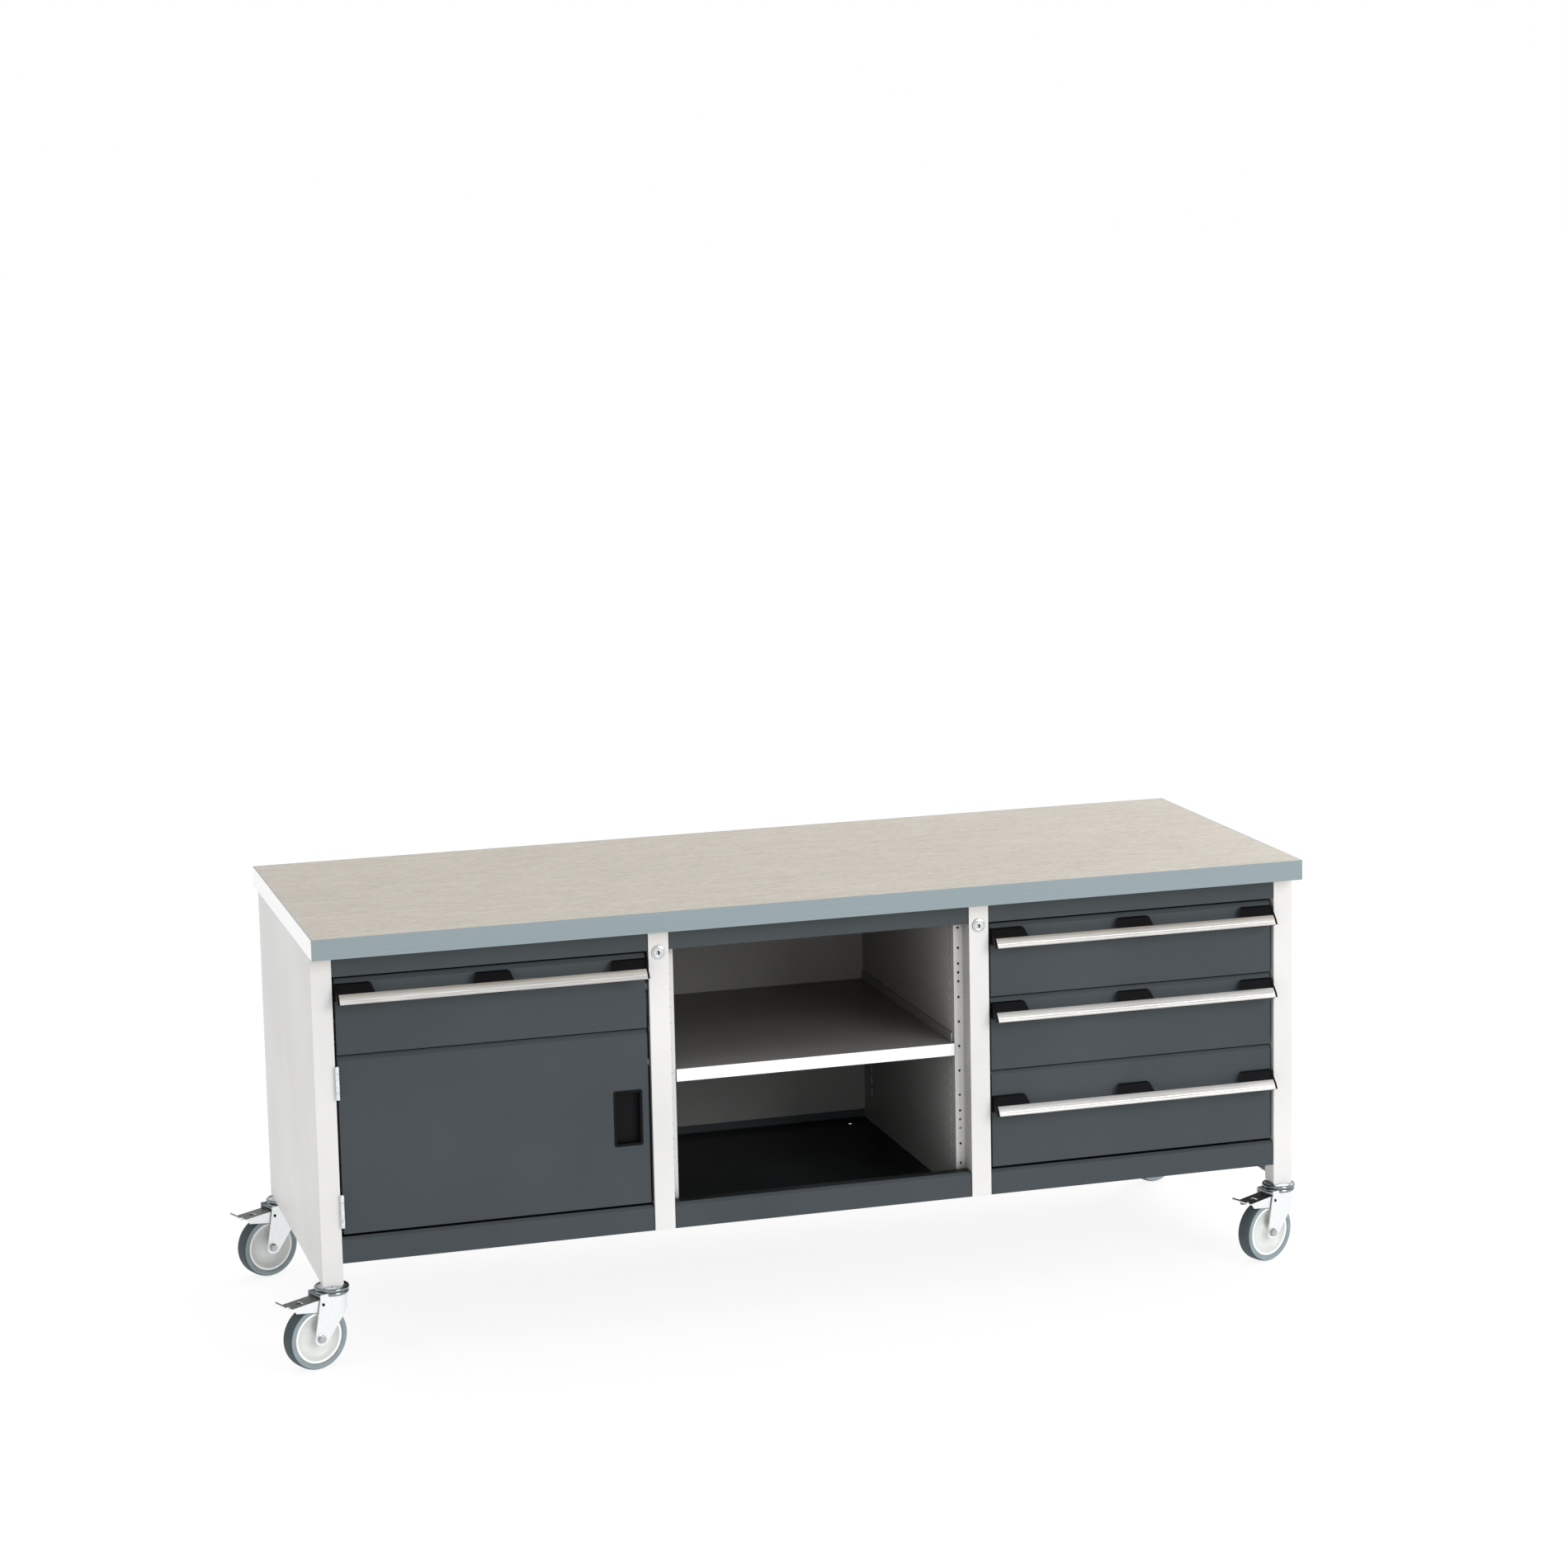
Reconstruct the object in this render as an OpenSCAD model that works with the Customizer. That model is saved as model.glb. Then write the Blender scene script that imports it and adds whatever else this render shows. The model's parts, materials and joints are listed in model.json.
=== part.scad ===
// Mobile workbench with a cupboard and drawer bay, an open shelf bay and a three-drawer bay.
// Millimetres, +Z up. X runs along the bench, -Y is the front. The floor is z = 0 and the
// origin is the middle of the bottom of the overall box.

/* [Worktop] */
// Length of the worktop along X
top_w = 2000; // [1650:10:2600]
// Depth of the worktop along Y
top_d = 750; // [620:5:1000]
// Thickness of the worktop with its surface
top_t = 40; // [25:1:60]
// Thickness of the wearing surface
surface_t = 2; // [1:0.5:4]
// Thickness of the edging strips
edging_t = 2.5; // [1.5:0.5:5]
// How far the worktop stands out past each end frame
end_overhang = 3; // [0:1:60]
// How far the worktop stands out past the legs at the front
front_overhang = 45; // [20:1:90]
// How far the worktop stands out past the legs at the back
rear_overhang = 45; // [10:1:90]

/* [Frame] */
// Width of each leg and post across the front
post_w = 40; // [34:1:60]
// Depth of each leg and post
post_d = 44; // [36:1:70]
// Thickness of the folded frame sheet
sheet_t = 1.5; // [1:0.1:2.5]
// Width of the perforated flange beside the open bay
flange_w = 18; // [14:1:30]
// Height of the top rails
rail_h = 44; // [30:1:70]
// Width of the rails' folded lips
rail_lip = 30; // [15:1:36]
// Gap between the top rail and the first drawer module
rail_gap = 3.5; // [2:0.5:8]
// Height of the base tray's front upstand
plinth_h = 51; // [35:1:90]
// Depth of the base tray's front upstand
plinth_d = 30; // [15:1:60]
// Size of the sloping edge along the top of the upstand
plinth_bevel = 6; // [2:1:12]
// Height of the base tray's rear upstand
tray_rear_h = 18; // [10:1:40]
// Distance from the back panel's inner face to the back of the frame
back_recess = 6; // [3:1:40]
// Radius of the fixing holes in the trays
tray_hole_r = 4; // [2:0.5:8]
// Distance of the fixing holes from the trays' edges
tray_hole_inset = 48; // [25:1:90]
// Height of the trays above the caster heads
leg_drop = 45; // [30:1:140]
// Radius of the round holes in the perforated flange
perf_r = 2.5; // [1.5:0.25:4]
// Pitch of the round holes
perf_pitch = 50; // [40:5:80]
// Pitch of the shelf slots
slot_pitch = 25; // [20:1:40]
// Height of each shelf slot
slot_h = 17; // [10:1:18]
// Width of each shelf slot
slot_w = 6; // [4:0.5:8]
// Width of the slots in the posts' sides
post_slot_w = 3; // [2:0.5:5]
// Distance of the front slot column behind the perforated flange
slot_front = 21; // [15:1:60]
// Distance of the rear slot column from the back panel
slot_rear = 58; // [30:1:100]

/* [Drawer and door fronts] */
// Height of one small drawer module
drawer_module = 150; // [120:5:200]
// Height of the deep drawer module
deep_module = 200; // [150:5:300]
// Gap between two fronts, one above the other
front_gap = 3; // [2:0.5:6]
// Gap between a front and the post beside it
side_gap = 5.3; // [4.5:0.1:9]
// Extra gap above the base tray
base_gap = 2; // [1:0.5:6]
// Thickness of a folded front
front_t = 20; // [16:1:30]
// How far the fronts sit behind the posts' faces
front_recess = 6; // [3:0.5:12]
// Height of the sloping edge along the top of a front
bevel_h = 8.5; // [4:0.5:14]
// Depth of the sloping edge along the top of a front
bevel_d = 6; // [2:0.5:10]

/* [Drawer boxes and runners] */
// Thickness of the drawer box sheet
box_t = 1.2; // [0.8:0.1:2]
// Space between a drawer box and the posts beside it
runner_w = 12.5; // [11:0.5:20]
// Height of the runner fixed to the frame
runner_h = 42; // [36:1:50]
// Thickness of the runner sheet
runner_t = 1.5; // [1:0.1:2]
// Running clearance inside the runners
runner_clear = 0.5; // [0.3:0.1:1]
// Height of the runner's middle above the box bottom
runner_rise = 30; // [26:1:40]
// Height of the box bottom above the lower edge of its front
box_rise = 12; // [6:1:20]
// How much lower the box sides are than their module
box_drop = 50; // [40:1:70]
// Distance between the drawer boxes and the back panel
box_rear_gap = 50; // [20:1:120]

/* [Handles] */
// Length of the end caps on each handle bar
cap_t = 4; // [3:0.5:6]
// Drop of the bar's upper edge below the top of the front
bar_top_drop = 25; // [22:1:30]
// Drop of the bar's lower edge below the top of the front
bar_low_drop = 42; // [38:1:60]
// Reach of the bar's upper edge in front of the front
bar_top_reach = 24; // [20:1:30]
// Reach of the bar's lower edge in front of the front
bar_low_reach = 38; // [34:1:50]
// Outward crown of the bar's face
bar_crown = 1.2; // [0.5:0.1:2]
// Thickness of the bar
bar_t = 3; // [2:0.5:4]
// Length of each handle bracket along the bar
bracket_w = 61; // [40:1:80]
// How much wider each bracket is at the bar than at the front, on each side
bracket_flare = 17; // [0:1:20]
// How much lower the handle sits on the deep drawer's front
deep_handle_drop = 41; // [0:1:100]
// Thickness of the bracket's web against the front
bracket_t = 4; // [3:0.5:6]

/* [Door] */
// Width of the door pull
pull_w = 57; // [50:1:80]
// Height of the door pull
pull_h = 110.5; // [90:0.5:140]
// Corner radius of the door pull
pull_r = 4; // [2:0.5:8]
// Distance of the pull from the door's free edge
pull_edge = 13; // [10:1:40]
// Wall of the pull's cup
pull_t = 2; // [1.5:0.5:3]
// Depth of the pull's cup
pull_depth = 15; // [10:0.5:15]
// Height of each hinge
hinge_h = 64; // [50:1:90]
// Height of the door's knuckle on each hinge
knuckle_h = 36; // [24:1:40]
// Radius of the hinge knuckles
knuckle_r = 4; // [3.5:0.25:4.25]
// Radius of the hinge pins
hinge_pin_r = 2; // [1.5:0.25:2.5]
// Thickness of the hinge leaves
leaf_t = 1.2; // [1:0.1:1.5]
// Distance of each hinge's middle from the door's top or bottom
hinge_inset = 48; // [36:1:80]

/* [Shelf] */
// Height of the shelf above the base tray
shelf_rise = 307; // [150:25:450]
// Height of the shelf's front edge
shelf_edge_h = 24.5; // [15:0.5:40]
// Height of the shelf's side upstands
shelf_side_h = 18; // [10:1:30]
// Gap between the shelf and the walls
shelf_gap = 1.3; // [1:0.1:3]

/* [Locks] */
// Radius of the lock barrel
barrel_r = 10; // [8:0.5:11]
// Radius of the lock bezel
bezel_r = 13.5; // [13:0.5:16]
// How far the lock's middle is below the worktop
lock_drop = 48; // [40:1:60]
// Lift of the locking bar
bar_lift = 10; // [8:0.5:12]
// Thickness of the locking bar
lock_bar_t = 2.5; // [2:0.5:3]

/* [Casters] */
// Wheel diameter
wheel_d = 125; // [80:5:160]
// Width of the tyre
wheel_w = 33; // [24:1:36]
// Thickness of the tyre in the radius
tyre_t = 12.5; // [8:0.5:16]
// Height of the caster head above the wheel's top
head_gap = 30; // [28:1:40]
// Radius of the caster's head ring
head_r = 34; // [32:1:40]
// Distance of the axle behind the swivel axis
trail = 40; // [34:1:50]
// Distance between the outer faces of the fork
fork_w = 48; // [46:1:56]
// Thickness of the fork sheet
fork_t = 2.5; // [2:0.5:3]
// Distance of the fork's round back from the swivel axis
fork_back = 29; // [26:1:33]
// Radius of the fork's lower ends round the axle
fork_end_r = 13; // [10:0.5:18]
// Radius of the axle bolt
axle_r = 4; // [3:0.5:6]
// Radius of the kingpin
kingpin_r = 6; // [5:0.5:8]
// Direction of the casters' trail, turned from +X
caster_turn = 201.7; // [180:0.1:230]
// Distance of the brake pedal's tip from the swivel axis
pedal_reach = 112; // [100:1:130]
// Width of the bar at the pedal's tip
pedal_w = 43; // [36:1:50]
// Width of the tongue that carries the pedal's tip bar
tongue_w = 8; // [5:1:20]

/* [Hidden] */
$fn = 48;

// clearances shared by the fits
run_clear = 0.05;    // radial, round running fits
fit_clear = 0.1;     // radial, fixed round parts in their holes
gap = 0.3;           // between parts that pass each other
over = 1;            // cutters reach this far past what they cut
snug = 0.1;          // between flat parts fixed to each other
setback = 2;         // rails and trays behind the faces of the posts

// colours
paint_light = [0.9, 0.9, 0.89];
paint_dark = [0.29, 0.31, 0.33];
zinc = [0.8, 0.82, 0.84];
black = [0.06, 0.06, 0.06];

// heights
caster_h = wheel_d + head_gap;
plate_t = 5;                                    // caster plate under each leg
leg_z = caster_h + plate_t;
base_z = caster_h + leg_drop;
plinth_z = base_z + plinth_h;
stack_h = 2 * drawer_module + deep_module;
stack_z = plinth_z + front_gap / 2;
stack_top = stack_z + stack_h;
rail_z = stack_top + rail_gap;
frame_top = rail_z + rail_h;
bench_h = frame_top + top_t;

// plan
frame_w = top_w - 2 * end_overhang;
frame_y0 = -top_d / 2 + front_overhang;
frame_y1 = top_d / 2 - rear_overhang;
bay_w = (frame_w - 4 * post_w) / 3;
bay_pitch = bay_w + post_w;
post_x = bay_pitch / 2;
wall_x = bay_w / 2 - flange_w;                  // open bay: half the width between the walls
back_y = frame_y1 - back_recess;
front_y = frame_y0 + front_recess;
front_w = bay_w - 2 * side_gap;

// drawers: bay side, lower edge and height of each front, and how far its handle is lowered
left_drawer = [-1, stack_top - drawer_module, drawer_module, 0];
upper_drawer = [1, stack_top - drawer_module, drawer_module, 0];
middle_drawer = [1, stack_top - 2 * drawer_module, drawer_module, 0];
lower_drawer = [1, stack_z, deep_module, deep_handle_drop];
box_y = front_y + front_t;
box_l = back_y - box_rear_gap - box_y;
box_w = bay_w - 2 * runner_w;
function front_low(d) = d[1] + front_gap / 2 + (d[1] == stack_z ? base_gap : 0);
function front_top(d) = d[1] + d[2] - front_gap / 2;
function handle_top(d) = front_top(d) - d[3];
function box_low(d) = d[1] + front_gap / 2 + box_rise;
function runner_mid(d) = box_low(d) + runner_rise;

// door
door_low = stack_z + front_gap / 2 + base_gap;
door_top = stack_top - drawer_module - front_gap / 2;
door_x = -bay_pitch - front_w / 2;              // hinge side edge
hinge_out = 2.3;                                // hinge axis beside the door's edge
hinge_strip = 0.5;                              // knuckle in front of the posts
hinge_x = door_x - hinge_out;
hinge_y = frame_y0 - knuckle_r - hinge_strip;
hinge_zs = [door_low + hinge_inset, door_top - hinge_inset];
door_leaf_l = 24;
frame_leaf_l = 28;
pull_x = door_x + front_w - pull_edge - pull_w / 2;
pull_z = (door_low + door_top) / 2;

// locks: cam crank, locking bar and the lugs that hold the fronts
lock_z = frame_top - lock_drop;
bezel_t = 2.5;                                  // bezel in front of the post
bezel_step = 1.5;                               // its rim past the hole in the post
bezel_l = 13;
crank_r = bar_lift;
crank_pin_r = 2.5;
crank_arm_t = 2.5;
window_slack = 2.7;                             // above and below the crank pin
lug_h = 12;
lug_gap = 2;                                    // lug to catch, unlocked, and lug to drawer catch
catch_y = box_y + 0.5;                          // drawer catch behind the box's front face
bar_y = catch_y - lug_gap - lock_bar_t;
catch_t = 2;
catch_rise = lug_h + lug_gap;
lug_reach = post_w / 2 + side_gap - 0.8;        // lugs stop just short of the door's edge
lug_clear = 9;                                  // lugs above the runners
function drawer_lug(d) = box_low(d) + runner_rise + runner_h / 2 + lug_clear;
door_lug = door_top - drawer_module / 2;
left_lugs = [drawer_lug(left_drawer), door_lug];
right_lugs = [for (d = [upper_drawer, middle_drawer, lower_drawer]) drawer_lug(d)];

// shelf
shelf_z = base_z + shelf_rise;
shelf_y0 = frame_y0 + post_d - 4;
shelf_y1 = back_y - 4;
shelf_w = 2 * (wall_x - sheet_t / 2 - shelf_gap);
slot_ys = [frame_y0 + post_d + slot_front, back_y - slot_rear];

// casters
axle_z = wheel_d / 2;
caster_x = frame_w / 2 - post_w / 2;
caster_y = frame_y1 - post_d / 2;
head_t = 7;                                     // thickness of the head ring
crown_z = caster_h - head_t - gap;              // top of the fork crown
crown_t = 4;
crown_low = crown_z - crown_t;
fork_in = fork_w / 2 - fork_t;                  // half the room inside the fork
pivot_s = trail - 6.5;
pivot_z = caster_h - 26.4;
pedal_pin_r = 3;
nut_h = 6;                                      // kingpin nut and the room above it
rim_r = wheel_d / 2 - tyre_t;
left_reach = caster_x - pedal_reach * cos(caster_turn) + pedal_w / 2 * abs(sin(caster_turn));
right_reach = max(caster_x + head_r, top_w / 2);
bench_x = (left_reach - right_reach) / 2;       // puts the origin in the middle of the box

module bench() {
    translate([bench_x, 0, 0]) children();
}

module box(x, y, z, w, d, h) {
    translate([x, y, z]) cube([w, d, h]);
}

// cylinder along +Y that starts at the given point
module rod_y(x, y, z, r, l) {
    translate([x, y, z]) rotate([-90, 0, 0]) cylinder(r = r, h = l);
}

// outline in (Y, Z) run along X for the given length
module run_x(x, l) {
    translate([x, 0, 0]) rotate([90, 0, 90]) linear_extrude(l) children();
}

// outline in (X, Z) run along Y for the given length
module run_y(y, l) {
    translate([0, y + l, 0]) rotate([90, 0, 0]) linear_extrude(l) children();
}

module both_sides() {
    children();
    mirror([1, 0, 0]) children();
}

// ---------------------------------------------------------------- worktop

module worktop_board() {
    color([0.76, 0.66, 0.5]) bench()
        box(-top_w / 2 + edging_t, -top_d / 2 + edging_t, frame_top,
            top_w - 2 * edging_t, top_d - 2 * edging_t, top_t - surface_t);
}

module worktop_surface() {
    color([0.82, 0.78, 0.74]) bench()
        box(-top_w / 2 + edging_t, -top_d / 2 + edging_t, bench_h - surface_t,
            top_w - 2 * edging_t, top_d - 2 * edging_t, surface_t);
}

module worktop_edging() {
    side_l = top_d - 2 * edging_t - 2 * gap;
    color([0.63, 0.69, 0.71]) bench() {
        for (y = [-top_d / 2, top_d / 2 - edging_t])
            box(-top_w / 2, y, frame_top, top_w, edging_t, top_t);
        for (x = [-top_w / 2, top_w / 2 - edging_t])
            box(x, -side_l / 2, frame_top, edging_t, side_l, top_t);
    }
}

// ---------------------------------------------------------------- frame

// open square tube standing on the given corner
module leg_tube(x, y) {
    leg_h = frame_top - leg_z;
    difference() {
        box(x, y, leg_z, post_w, post_d, leg_h);
        box(x + sheet_t, y + sheet_t, leg_z - over, post_w - 2 * sheet_t, post_d - 2 * sheet_t,
            leg_h + 2 * over);
    }
}

// left hand end: two legs joined by the side panel, its folded top and its folded foot
module end_frame() {
    x0 = -frame_w / 2;
    inner_y = frame_y0 + post_d - sheet_t;
    inner_l = frame_y1 - frame_y0 - 2 * (post_d - sheet_t);
    leg_tube(x0, frame_y0);
    leg_tube(x0, frame_y1 - post_d);
    box(x0, inner_y, leg_z, sheet_t, inner_l, frame_top - leg_z);
    for (z = [leg_z, frame_top - sheet_t])
        box(x0, inner_y, z, post_w / 2, inner_l, sheet_t);
}

module left_end_frame() {
    color(paint_light) bench() end_frame();
}

module right_end_frame() {
    color(paint_light) bench() mirror([1, 0, 0]) end_frame();
}

// heights of the round holes: an even column, one hole more at each end of it, and a close
// pair of holes round the second and the second last
slot_z = base_z + 60;                           // foot of the lowest slot
perf_n = floor((rail_z - base_z - 30) / perf_pitch);
perf_zs = concat([slot_z, rail_z - 15],
    [for (i = [2:perf_n]) base_z + i * perf_pitch],
    [for (i = [3, perf_n - 1], s = [-18, 18]) base_z + i * perf_pitch + s]);

// left hand partition: post, perforated flange, wall and rear column folded from sheet
module partition(lugs) {
    h = frame_top - base_z;
    px = -post_x - post_w / 2;
    fx = -post_x + post_w / 2;
    wx = -wall_x - sheet_t / 2;
    flange_y = frame_y0 + post_d - sheet_t;
    slot_n = floor((h - 120) / slot_pitch);
    difference() {
        union() {
            box(px, frame_y0, base_z, post_w, sheet_t, h);
            box(px, frame_y0, base_z, sheet_t, post_d, h);
            box(fx - sheet_t, frame_y0, base_z, sheet_t, post_d, h);
            box(fx - sheet_t, flange_y, base_z, wx - fx + 2 * sheet_t, sheet_t, h);
            box(wx, flange_y, base_z, sheet_t, frame_y1 - flange_y, h);
            box(px, frame_y1 - sheet_t, base_z, wx - px + sheet_t, sheet_t, h);
            box(px, frame_y1 - post_d, base_z, sheet_t, post_d, h);
            // keepers behind the locking bar
            for (z = [lugs[len(lugs) - 1] + 40, lugs[0] - 40])
                box(px, bar_y + lock_bar_t + gap, z, post_w / 2, sheet_t, 10);
        }
        rod_y(-post_x, frame_y0 - over, lock_z, bezel_r - bezel_step + fit_clear, sheet_t + 2 * over);
        for (z = perf_zs)
            rod_y((fx + wx + sheet_t) / 2, flange_y - over, z, perf_r, sheet_t + 2 * over);
        for (y = slot_ys, i = [0:slot_n])
            box(wx - over, y, slot_z + i * slot_pitch, sheet_t + 2 * over, slot_w, slot_h);
        for (i = [0:slot_n])
            box(fx - sheet_t - over, frame_y0 + post_d / 2, slot_z + i * slot_pitch,
                sheet_t + 2 * over, post_slot_w, slot_h);
        for (z = lugs)
            box(px - over, bar_y - gap, z - gap, sheet_t + 2 * over, lock_bar_t + 2 * gap,
                lug_h + bar_lift + 2 * gap);
    }
}

module left_partition() {
    color(paint_light) bench() partition(left_lugs);
}

module right_partition() {
    color(paint_light) bench() mirror([1, 0, 0]) partition(right_lugs);
}

// one panel for each bay, inside the rear columns
module back_panels() {
    h = frame_top - base_z - rail_h - gap;
    side_w = bay_w - sheet_t - gap;
    color(paint_light) bench() {
        box(-wall_x + sheet_t / 2 + gap, back_y, base_z, 2 * wall_x - sheet_t - 2 * gap, sheet_t, h);
        both_sides()
            box(-bay_pitch - bay_w / 2 + gap, back_y, base_z, side_w, sheet_t, h);
    }
}

// folded channel, open to the back
module rail(x, w) {
    difference() {
        box(x, frame_y0 + setback, rail_z, w, rail_lip, rail_h);
        box(x - over, frame_y0 + setback + sheet_t, rail_z + sheet_t, w + 2 * over, rail_lip,
            rail_h - 2 * sheet_t);
    }
}

module top_rails() {
    w = bay_w - 2 * gap;
    color(paint_dark) bench()
        for (i = [-1:1]) {
            rail(i * bay_pitch - w / 2, w);
            // rear rail, narrower in the open bay where it runs between the walls
            rw = i == 0 ? 2 * wall_x - sheet_t - 2 * gap : w - 2 * sheet_t;
            translate([i * bay_pitch, 0, 0]) box(-rw / 2, back_y, rail_z, rw, sheet_t, rail_h);
            translate([i * bay_pitch, 0, 0])
                box(-rw / 2, back_y - rail_lip, frame_top - sheet_t, rw, rail_lip + over, sheet_t);
        }
}

// floor sheet with a boxed front upstand and a plain rear upstand
module base_tray(w_front, w_rear) {
    y0 = frame_y0 + setback;
    run_x(-w_front / 2, w_front) difference() {
        polygon([[y0, base_z], [y0, plinth_z - plinth_bevel], [y0 + plinth_bevel, plinth_z],
                 [y0 + plinth_d, plinth_z], [y0 + plinth_d, base_z]]);
        polygon([[y0 + sheet_t, base_z + sheet_t], [y0 + sheet_t, plinth_z - plinth_bevel - sheet_t / 2],
                 [y0 + plinth_bevel + sheet_t / 2, plinth_z - sheet_t],
                 [y0 + plinth_d - sheet_t, plinth_z - sheet_t], [y0 + plinth_d - sheet_t, base_z + sheet_t]]);
    }
    floor_y = y0 + plinth_d - sheet_t;
    difference() {
        box(-w_rear / 2, floor_y, base_z, w_rear, back_y - gap - floor_y, sheet_t);
        for (s = [-1, 1], y = [floor_y + tray_hole_inset, back_y - tray_hole_inset])
            translate([s * (w_rear / 2 - tray_hole_inset), y, base_z - over])
                cylinder(r = tray_hole_r, h = sheet_t + 2 * over);
    }
    box(-w_rear / 2, back_y - gap - sheet_t, base_z, w_rear, sheet_t, tray_rear_h);
}

module base_trays() {
    w = bay_w - 2 * gap;
    color([0.2, 0.22, 0.23]) bench() {
        base_tray(w, 2 * wall_x - sheet_t - 2 * gap);
        for (s = [-1, 1])
            translate([s * bay_pitch, 0, 0]) base_tray(w, w);
    }
}

module shelf() {
    lip = 12;
    side_y = shelf_y0 + lip + 2;
    color([0.93, 0.93, 0.92]) bench() {
        box(-shelf_w / 2, shelf_y0, shelf_z - sheet_t, shelf_w, shelf_y1 - shelf_y0, sheet_t);
        box(-shelf_w / 2, shelf_y0, shelf_z - shelf_edge_h, shelf_w, sheet_t, shelf_edge_h);
        box(-shelf_w / 2, shelf_y0, shelf_z - shelf_edge_h, shelf_w, lip, sheet_t);
        both_sides()
            box(-shelf_w / 2, side_y, shelf_z - over, sheet_t, shelf_y1 - side_y,
                shelf_side_h + over);
        box(-shelf_w / 2, shelf_y1 - sheet_t, shelf_z - shelf_edge_h, shelf_w, sheet_t,
            shelf_edge_h);
    }
}

// a clip hangs in each slot column and carries the shelf
module shelf_clips() {
    clip_w = 14;
    low = shelf_z - sheet_t - 14;
    slot_i = floor((low - slot_z) / slot_pitch);
    tab_z = slot_z + slot_i * slot_pitch + 2;
    tab_w = slot_w - 2 * gap;
    hook = sheet_t + 3;                             // reach of the tab through the wall
    inner = wall_x - sheet_t / 2;
    color(zinc) bench() both_sides()
        for (y = slot_ys) {
            box(-inner + snug, y - 4, tab_z, 1, clip_w, shelf_z - sheet_t - tab_z);
            box(-inner + snug, y - 4, shelf_z - 2 * sheet_t, 10, clip_w, sheet_t);
            box(-inner - hook, y + gap, tab_z, hook + 2 * snug, tab_w, slot_h - 4);
            box(-inner - hook, y + gap, tab_z - 4, sheet_t, tab_w, 8);
        }
}

// channel fixed to the posts on the left of a bay, open to the bay
module fixed_runner(z) {
    l = frame_y1 - post_d - gap - box_y - over;
    run_y(box_y + over, l) difference() {
        translate([0, z - runner_h / 2]) square([runner_w - 3.5, runner_h]);
        translate([runner_t, z - runner_h / 2 + runner_t])
            square([runner_w, runner_h - 2 * runner_t]);
    }
}

module cabinet_runners() {
    color(zinc) bench()
        for (d = [left_drawer, upper_drawer, middle_drawer, lower_drawer])
            translate([d[0] * bay_pitch, 0, 0]) both_sides()
                translate([-bay_w / 2, 0, 0]) fixed_runner(runner_mid(d));
}

// ---------------------------------------------------------------- drawers

// folded front with a sloping top edge, open at the back
module front_pan(low, top, w, y) {
    t = sheet_t;
    difference() {
        run_x(-w / 2, w)
            polygon([[y, low], [y, top - bevel_h], [y + bevel_d, top], [y + front_t, top],
                     [y + front_t, low]]);
        run_x(-w / 2 + t, w - 2 * t)
            polygon([[y + t, low + t], [y + t, top - bevel_h - t / 2], [y + bevel_d + t / 2, top - t],
                     [y + front_t + over, top - t], [y + front_t + over, low + t]]);
    }
}

module drawer_front(d) {
    color(paint_dark) bench() translate([d[0] * bay_pitch, 0, 0])
        front_pan(front_low(d), front_top(d), front_w, front_y);
}

// folded box with its two sliding runner members and the catch for the locking bar
module drawer_box(d) {
    h = d[2] - box_drop;
    z = box_low(d);
    slide_h = runner_h - 2 * runner_t - 2 * runner_clear;
    slide_x = -bay_w / 2 + runner_t + 1.5;
    slide_w = runner_w - runner_t - 1.5;
    color([0.85, 0.85, 0.84]) bench() translate([d[0] * bay_pitch, 0, 0]) {
        difference() {
            box(-box_w / 2, box_y, z, box_w, box_l, h);
            box(-box_w / 2 + box_t, box_y + box_t, z + box_t, box_w - 2 * box_t, box_l - 2 * box_t,
                h + over);
        }
        both_sides()
            translate([0, 0, runner_mid(d)]) run_y(box_y + 2 * over, box_l - 3 * over) difference() {
                translate([slide_x, -slide_h / 2]) square([slide_w, slide_h]);
                translate([slide_x - over, -slide_h / 2 + runner_t])
                    square([slide_w - runner_t + over, slide_h - 2 * runner_t]);
            }
        mirror([d[0] > 0 ? 0 : 1, 0, 0])
            box(-bay_w / 2 + 2, catch_y, drawer_lug(d) + catch_rise,
                runner_w - 2 + box_t / 2, catch_t, lug_h);
    }
}

// outer face of the bar in (reach, drop) as a shallow arc between its two edges
function bar_face(n, out) = [for (i = [0:n])
    let (t = i / n, s = 4 * bar_crown * t * (1 - t))
    [-(bar_top_reach + (bar_low_reach - bar_top_reach) * t + s * 0.77 + out * 0.77),
     -(bar_top_drop + (bar_low_drop - bar_top_drop) * t) + s * 0.64 + out * 0.64]];

module bar_profile() {
    n = 8;
    back = bar_face(n, -bar_t);
    polygon(concat(bar_face(n, 0), [for (i = [n:-1:0]) back[i]]));
}

// side profile of a bracket or end cap, from the front's face to the bar
module bracket_profile(out) {
    n = 8;
    face = bar_face(n, out);
    polygon(concat([[0, -bevel_h], [-8, -bevel_h - 1.5]], face, [[-bar_low_reach + 8, -bar_low_drop],
        [-bracket_t - 8, -bar_low_drop + 11], [-bracket_t, -bar_low_drop], [0, -bar_low_drop]]));
}

module drawer_handle_bar(d) {
    l = front_w - 2 * cap_t;
    color([0.82, 0.82, 0.8]) bench() translate([d[0] * bay_pitch, front_y, handle_top(d)])
        run_x(-l / 2, l) bar_profile();
}

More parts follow.
